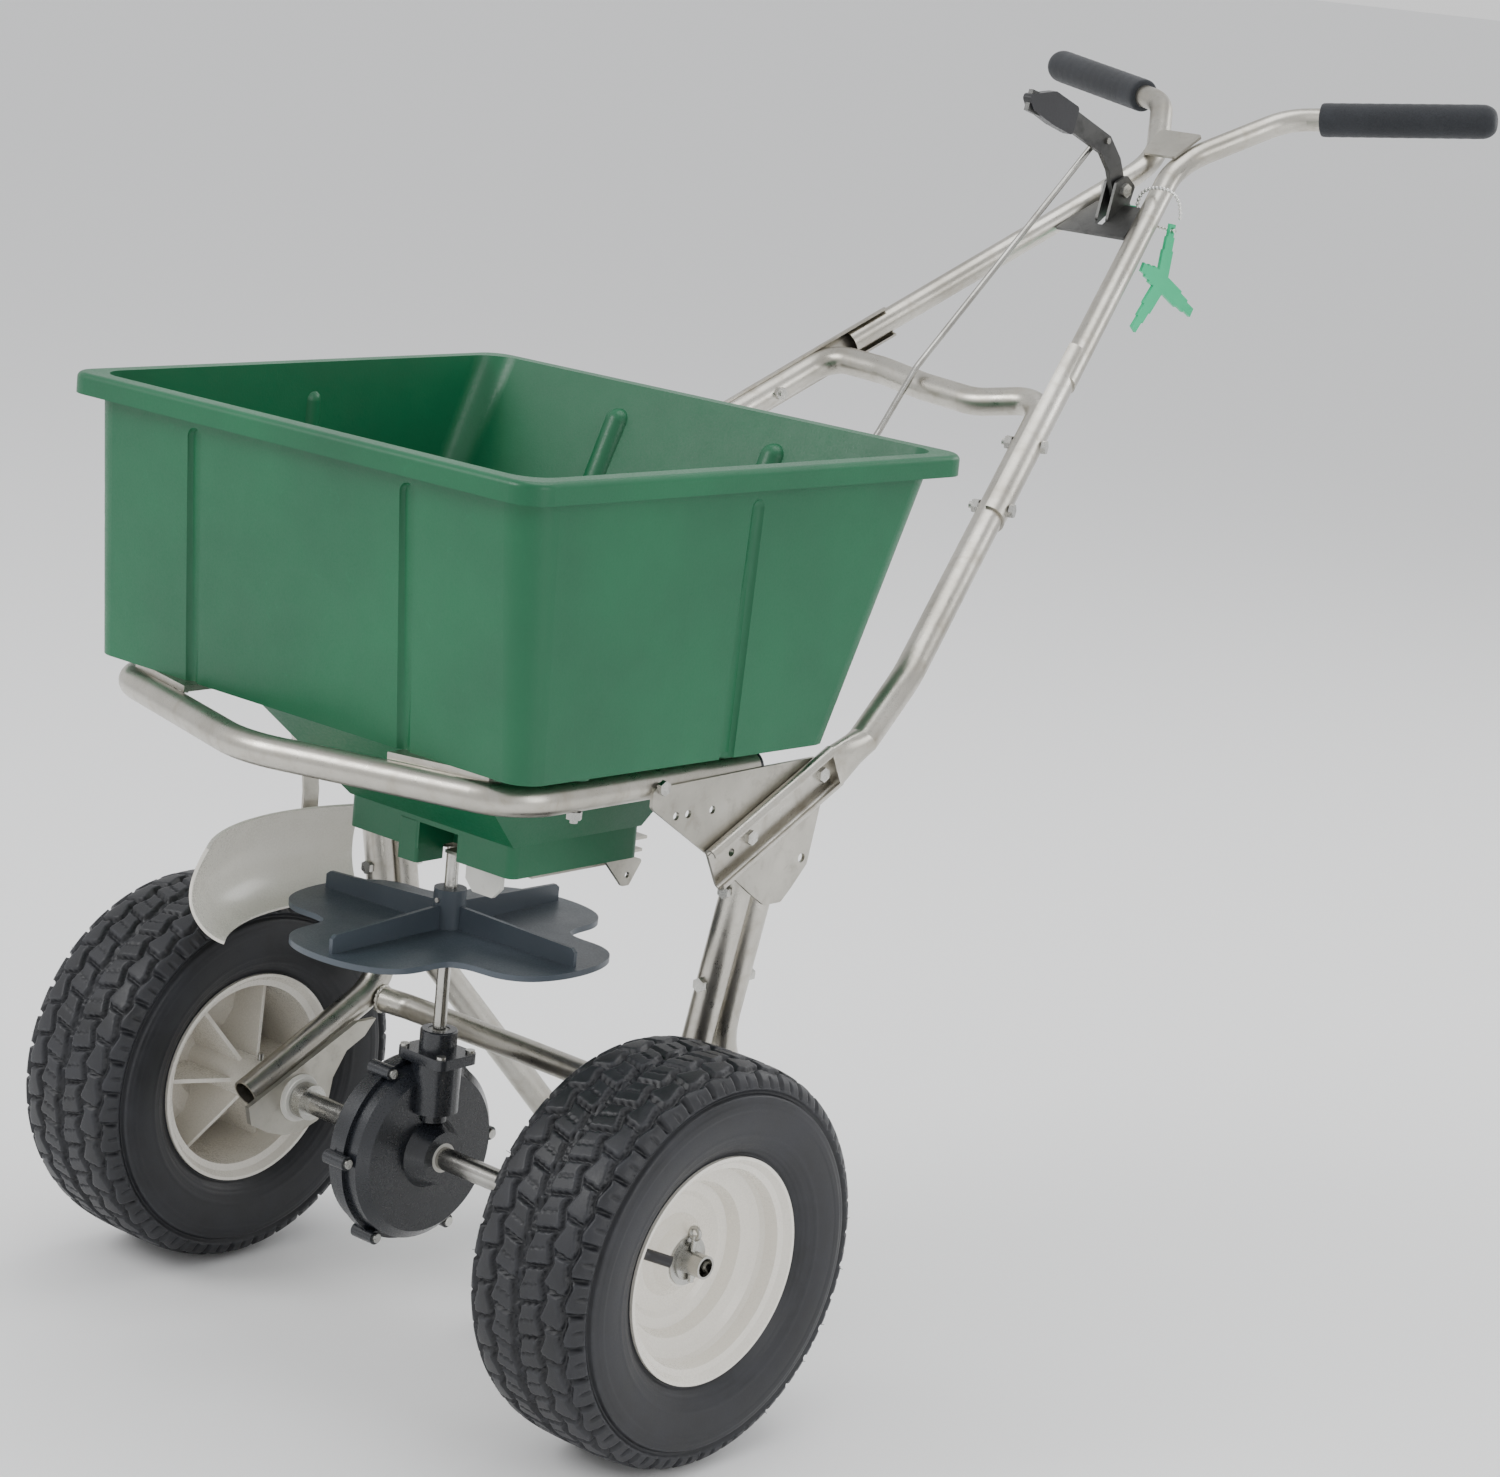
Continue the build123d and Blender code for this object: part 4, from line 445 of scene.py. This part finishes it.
def lathe(name, origin, axis, prof, seg, body, slot, replaces=(), wob=None, closed=True):
    axis = axis.normalized()
    e1 = axis.orthogonal().normalized()
    e2 = axis.cross(e1)
    verts, faces = [], []
    for (t, r) in prof:
        for q in range(seg):
            a = 2 * math.pi * q / seg
            rr = r + (wob(t, a) if wob else 0.0)
            verts.append(origin + axis * t + (e1 * math.cos(a) + e2 * math.sin(a)) * rr)
    for i in range(len(prof) - 1):
        for q in range(seg):
            faces.append((i * seg + q, i * seg + (q + 1) % seg, (i + 1) * seg + (q + 1) % seg, (i + 1) * seg + q))
    if closed:
        faces.append(tuple(range(seg))[::-1])
        faces.append(tuple((len(prof) - 1) * seg + q for q in range(seg)))
    return verts, faces


grip_verts, grip_faces = [], []
for sign in (1, -1):
    prof = [(0.0002, 0.0113), (0.0003, 0.0140), (0.0009, 0.0155), (0.0024, 0.0162)]
    for k in range(40):
        t = 0.005 + 0.150 * k / 39
        prof.append((t, 0.01632 + 0.00010 * math.sin(k * 1.9)))
    for k in range(1, 13):
        a = math.pi / 2 * k / 12
        prof.append((0.155 + 0.0142 * math.sin(a), 0.0163 - 0.0105 * (1 - math.cos(a)) - (0.0058 if k == 12 else 0.0)))
    verts, faces = lathe("g", Vector((0, 0, 0)), Vector((GD.x * sign, GD.y, GD.z)), prof, 48, "frame", "black_foam")
    off = Vector((G0.x * sign, G0.y, G0.z))
    base = len(grip_verts)
    grip_verts += [v + off for v in verts]
    grip_faces += [tuple(base + i for i in f) for f in faces]
piece("foam_grips", grip_verts, grip_faces, "frame", "black_foam", True, ("handle_grips",))

# ------------------------------------------------------------------ bead chain
ROUTE = [(69.0, 948.0), (69.0, 974.5), (18.0, 974.5), (18.0, 937.0), (66.0, 937.0)]
CH_Y = AY + 0.8284
cu = bpy.data.curves.new("bead_chain_link", "CURVE")
cu.dimensions = "3D"
sp = cu.splines.new("NURBS")
sp.points.add(len(ROUTE) - 1)
for pnt, (x, z) in zip(sp.points, ROUTE):
    pnt.co = (x / 1000, CH_Y, z / 1000, 1.0)
sp.order_u = 3
sp.use_endpoint_u = True
sp.resolution_u = 24
bare = bpy.data.objects.new("chain_line", cu)
scene.collection.objects.link(bare)
line = bpy.data.meshes.new_from_object(bare)
pts = [v.co.copy() for v in line.vertices]
bpy.data.meshes.remove(line)
cu.bevel_depth = 0.0012
cu.bevel_resolution = 3
cu.use_fill_caps = True
bare.name = "bead_chain_cord"
bare.data.materials.append(M["chain_metal"])
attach(bare, "frame")
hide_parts("bead_chain")

bead_v, bead_f = [], []
dist, want, i = 0.0, 0.0016, 0
acc = 0.0
for a, b in zip(pts, pts[1:]):
    seg = (b - a).length
    while want <= acc + seg:
        c = a + (b - a) * ((want - acc) / seg)
        base = len(bead_v)
        R_B, NS, NR = 0.0020, 10, 7
        for r_i in range(NR + 1):
            ph = math.pi * r_i / NR
            for q in range(NS):
                th = 2 * math.pi * q / NS
                bead_v.append(c + Vector((math.sin(ph) * math.cos(th), math.sin(ph) * math.sin(th), math.cos(ph))) * R_B)
        for r_i in range(NR):
            for q in range(NS):
                bead_f.append((base + r_i * NS + q, base + r_i * NS + (q + 1) % NS,
                               base + (r_i + 1) * NS + (q + 1) % NS, base + (r_i + 1) * NS + q))
        want += 0.0042
    acc += seg
beads = piece("bead_chain_beads", bead_v, bead_f, "frame", "chain_metal")


# ------------------------------------------------------------------ weld beads
def weld_ring(name, center, axis, radius, body, arc=(0, 360), thick=0.0017):
    axis = Vector(axis).normalized()
    e1 = axis.orthogonal().normalized()
    e2 = axis.cross(e1)
    verts, faces = [], []
    n = 96
    a0, a1 = math.radians(arc[0]), math.radians(arc[1])
    full = abs(arc[1] - arc[0]) >= 360
    cnt = n if full else n + 1
    for k in range(cnt):
        a = a0 + (a1 - a0) * k / n
        lump = 1 + 0.22 * math.sin(k * 2 * math.pi / 6) + 0.10 * math.sin(k * 1.7)
        cc = Vector(center) + (e1 * math.cos(a) + e2 * math.sin(a)) * radius
        rad = (e1 * math.cos(a) + e2 * math.sin(a))
        for q in range(8):
            t = 2 * math.pi * q / 8
            verts.append(cc + (rad * math.cos(t) + axis * math.sin(t)) * thick * lump)
    for k in range(cnt if full else cnt - 1):
        k2 = (k + 1) % cnt
        for q in range(8):
            faces.append((k * 8 + q, k * 8 + (q + 1) % 8, k2 * 8 + (q + 1) % 8, k2 * 8 + q))
    return verts, faces


wv, wf = [], []
for sign in (1, -1):
    v, f = weld_ring("w", (sign * 0.1645, AY + 0.0962, 0.236), (sign, -0.25, 0.05), 0.0112, "frame")
    b0 = len(wv)
    wv += v
    wf += [tuple(b0 + i for i in q) for q in f]
piece("brace_weld_beads", wv, wf, "frame", "frame_steel")

# ------------------------------------------------------------------ floor, light, camera
me = bpy.data.meshes.new("floor")
S = 80.0
ft = [(-S, -S, 0), (S, -S, 0), (S, S, 0), (-S, S, 0)]
me.from_pydata([(x, y, -0.0006) for x, y, z in ft], [], [(0, 1, 2, 3)])
floor = bpy.data.objects.new("floor", me)
scene.collection.objects.link(floor)
fm, nt, b = new_mat("floor_paper")
b.inputs["Base Color"].default_value = (0.96, 0.96, 0.96, 1)
fv = coords(nt)
nt.links.new(remap(nt, noise(nt, fv, 30.0), 0.3, 0.7, 0.75, 0.85), b.inputs["Roughness"])
b.inputs["Specular IOR Level"].default_value = 0.15
floor.data.materials.append(fm)

w = scene.world or bpy.data.worlds.new("World")
scene.world = w
w.use_nodes = True
wn = w.node_tree
wn.nodes.clear()
wo = wn.nodes.new("ShaderNodeOutputWorld")
bg = wn.nodes.new("ShaderNodeBackground")
tc = wn.nodes.new("ShaderNodeTexCoord")
sx = wn.nodes.new("ShaderNodeSeparateXYZ")
mr = wn.nodes.new("ShaderNodeMapRange")
mr.inputs["From Min"].default_value = -0.25
mr.inputs["From Max"].default_value = 0.9
ramp = wn.nodes.new("ShaderNodeValToRGB")
ramp.color_ramp.elements[0].position = 0.0
ramp.color_ramp.elements[0].color = (0.92, 0.92, 0.93, 1)
ramp.color_ramp.elements[1].position = 1.0
ramp.color_ramp.elements[1].color = (0.80, 0.81, 0.83, 1)
e = ramp.color_ramp.elements.new(0.22)
e.color = (1.0, 1.0, 1.0, 1)
wn.links.new(tc.outputs["Generated"], sx.inputs[0])
wn.links.new(sx.outputs["Z"], mr.inputs["Value"])
wn.links.new(mr.outputs[0], ramp.inputs["Fac"])
wn.links.new(ramp.outputs["Color"], bg.inputs["Color"])
bg.inputs["Strength"].default_value = 1.0
wn.links.new(bg.outputs[0], wo.inputs[0])


def area(name, loc, target, size, power, color=(1, 1, 1)):
    li = bpy.data.lights.new(name, "AREA")
    li.shape = "RECTANGLE"
    li.size, li.size_y = size
    li.energy = power
    li.color = color
    ob = bpy.data.objects.new(name, li)
    ob.location = loc
    d = Vector(target) - Vector(loc)
    ob.rotation_euler = d.to_track_quat("-Z", "Y").to_euler()
    scene.collection.objects.link(ob)
    return ob


area("key", (-1.6, -3.2, 2.9), (0, -0.1, 0.5), (1.6, 1.6), 75)
area("fill", (3.4, -0.6, 1.6), (0, 0, 0.5), (1.4, 2.0), 30)
area("top", (0.2, 0.4, 3.6), (0, 0, 0.4), (2.4, 2.4), 50)
area("back", (0.8, 3.4, 2.2), (0, 0, 0.6), (2.0, 1.2), 30)

cam = bpy.data.cameras.new("camera")
cam.sensor_fit = "HORIZONTAL"
cam.sensor_width = 36.0
cam.lens = 36.0 * 3674.4 / 1500.0
cam.shift_x = -(818.5 - 750.0) / 1500.0
cam.shift_y = -(738.5 - 724.7) / 1500.0
cam.clip_end = 300
co = bpy.data.objects.new("camera", cam)
yaw, pitch, roll = math.radians(39.53), math.radians(12.56), math.radians(5.83)
back = Vector((math.sin(yaw) * math.cos(pitch), -math.cos(yaw) * math.cos(pitch), math.sin(pitch)))
right = Vector((math.cos(yaw), math.sin(yaw), 0))
up = back.cross(right)
r2 = right * math.cos(roll) + up * math.sin(roll)
u2 = -right * math.sin(roll) + up * math.cos(roll)
mat = Matrix((r2, u2, back)).transposed().to_4x4()
mat.translation = Vector((2.0683, -2.0516 + AY, 1.2057))
co.matrix_world = mat
scene.collection.objects.link(co)
scene.camera = co
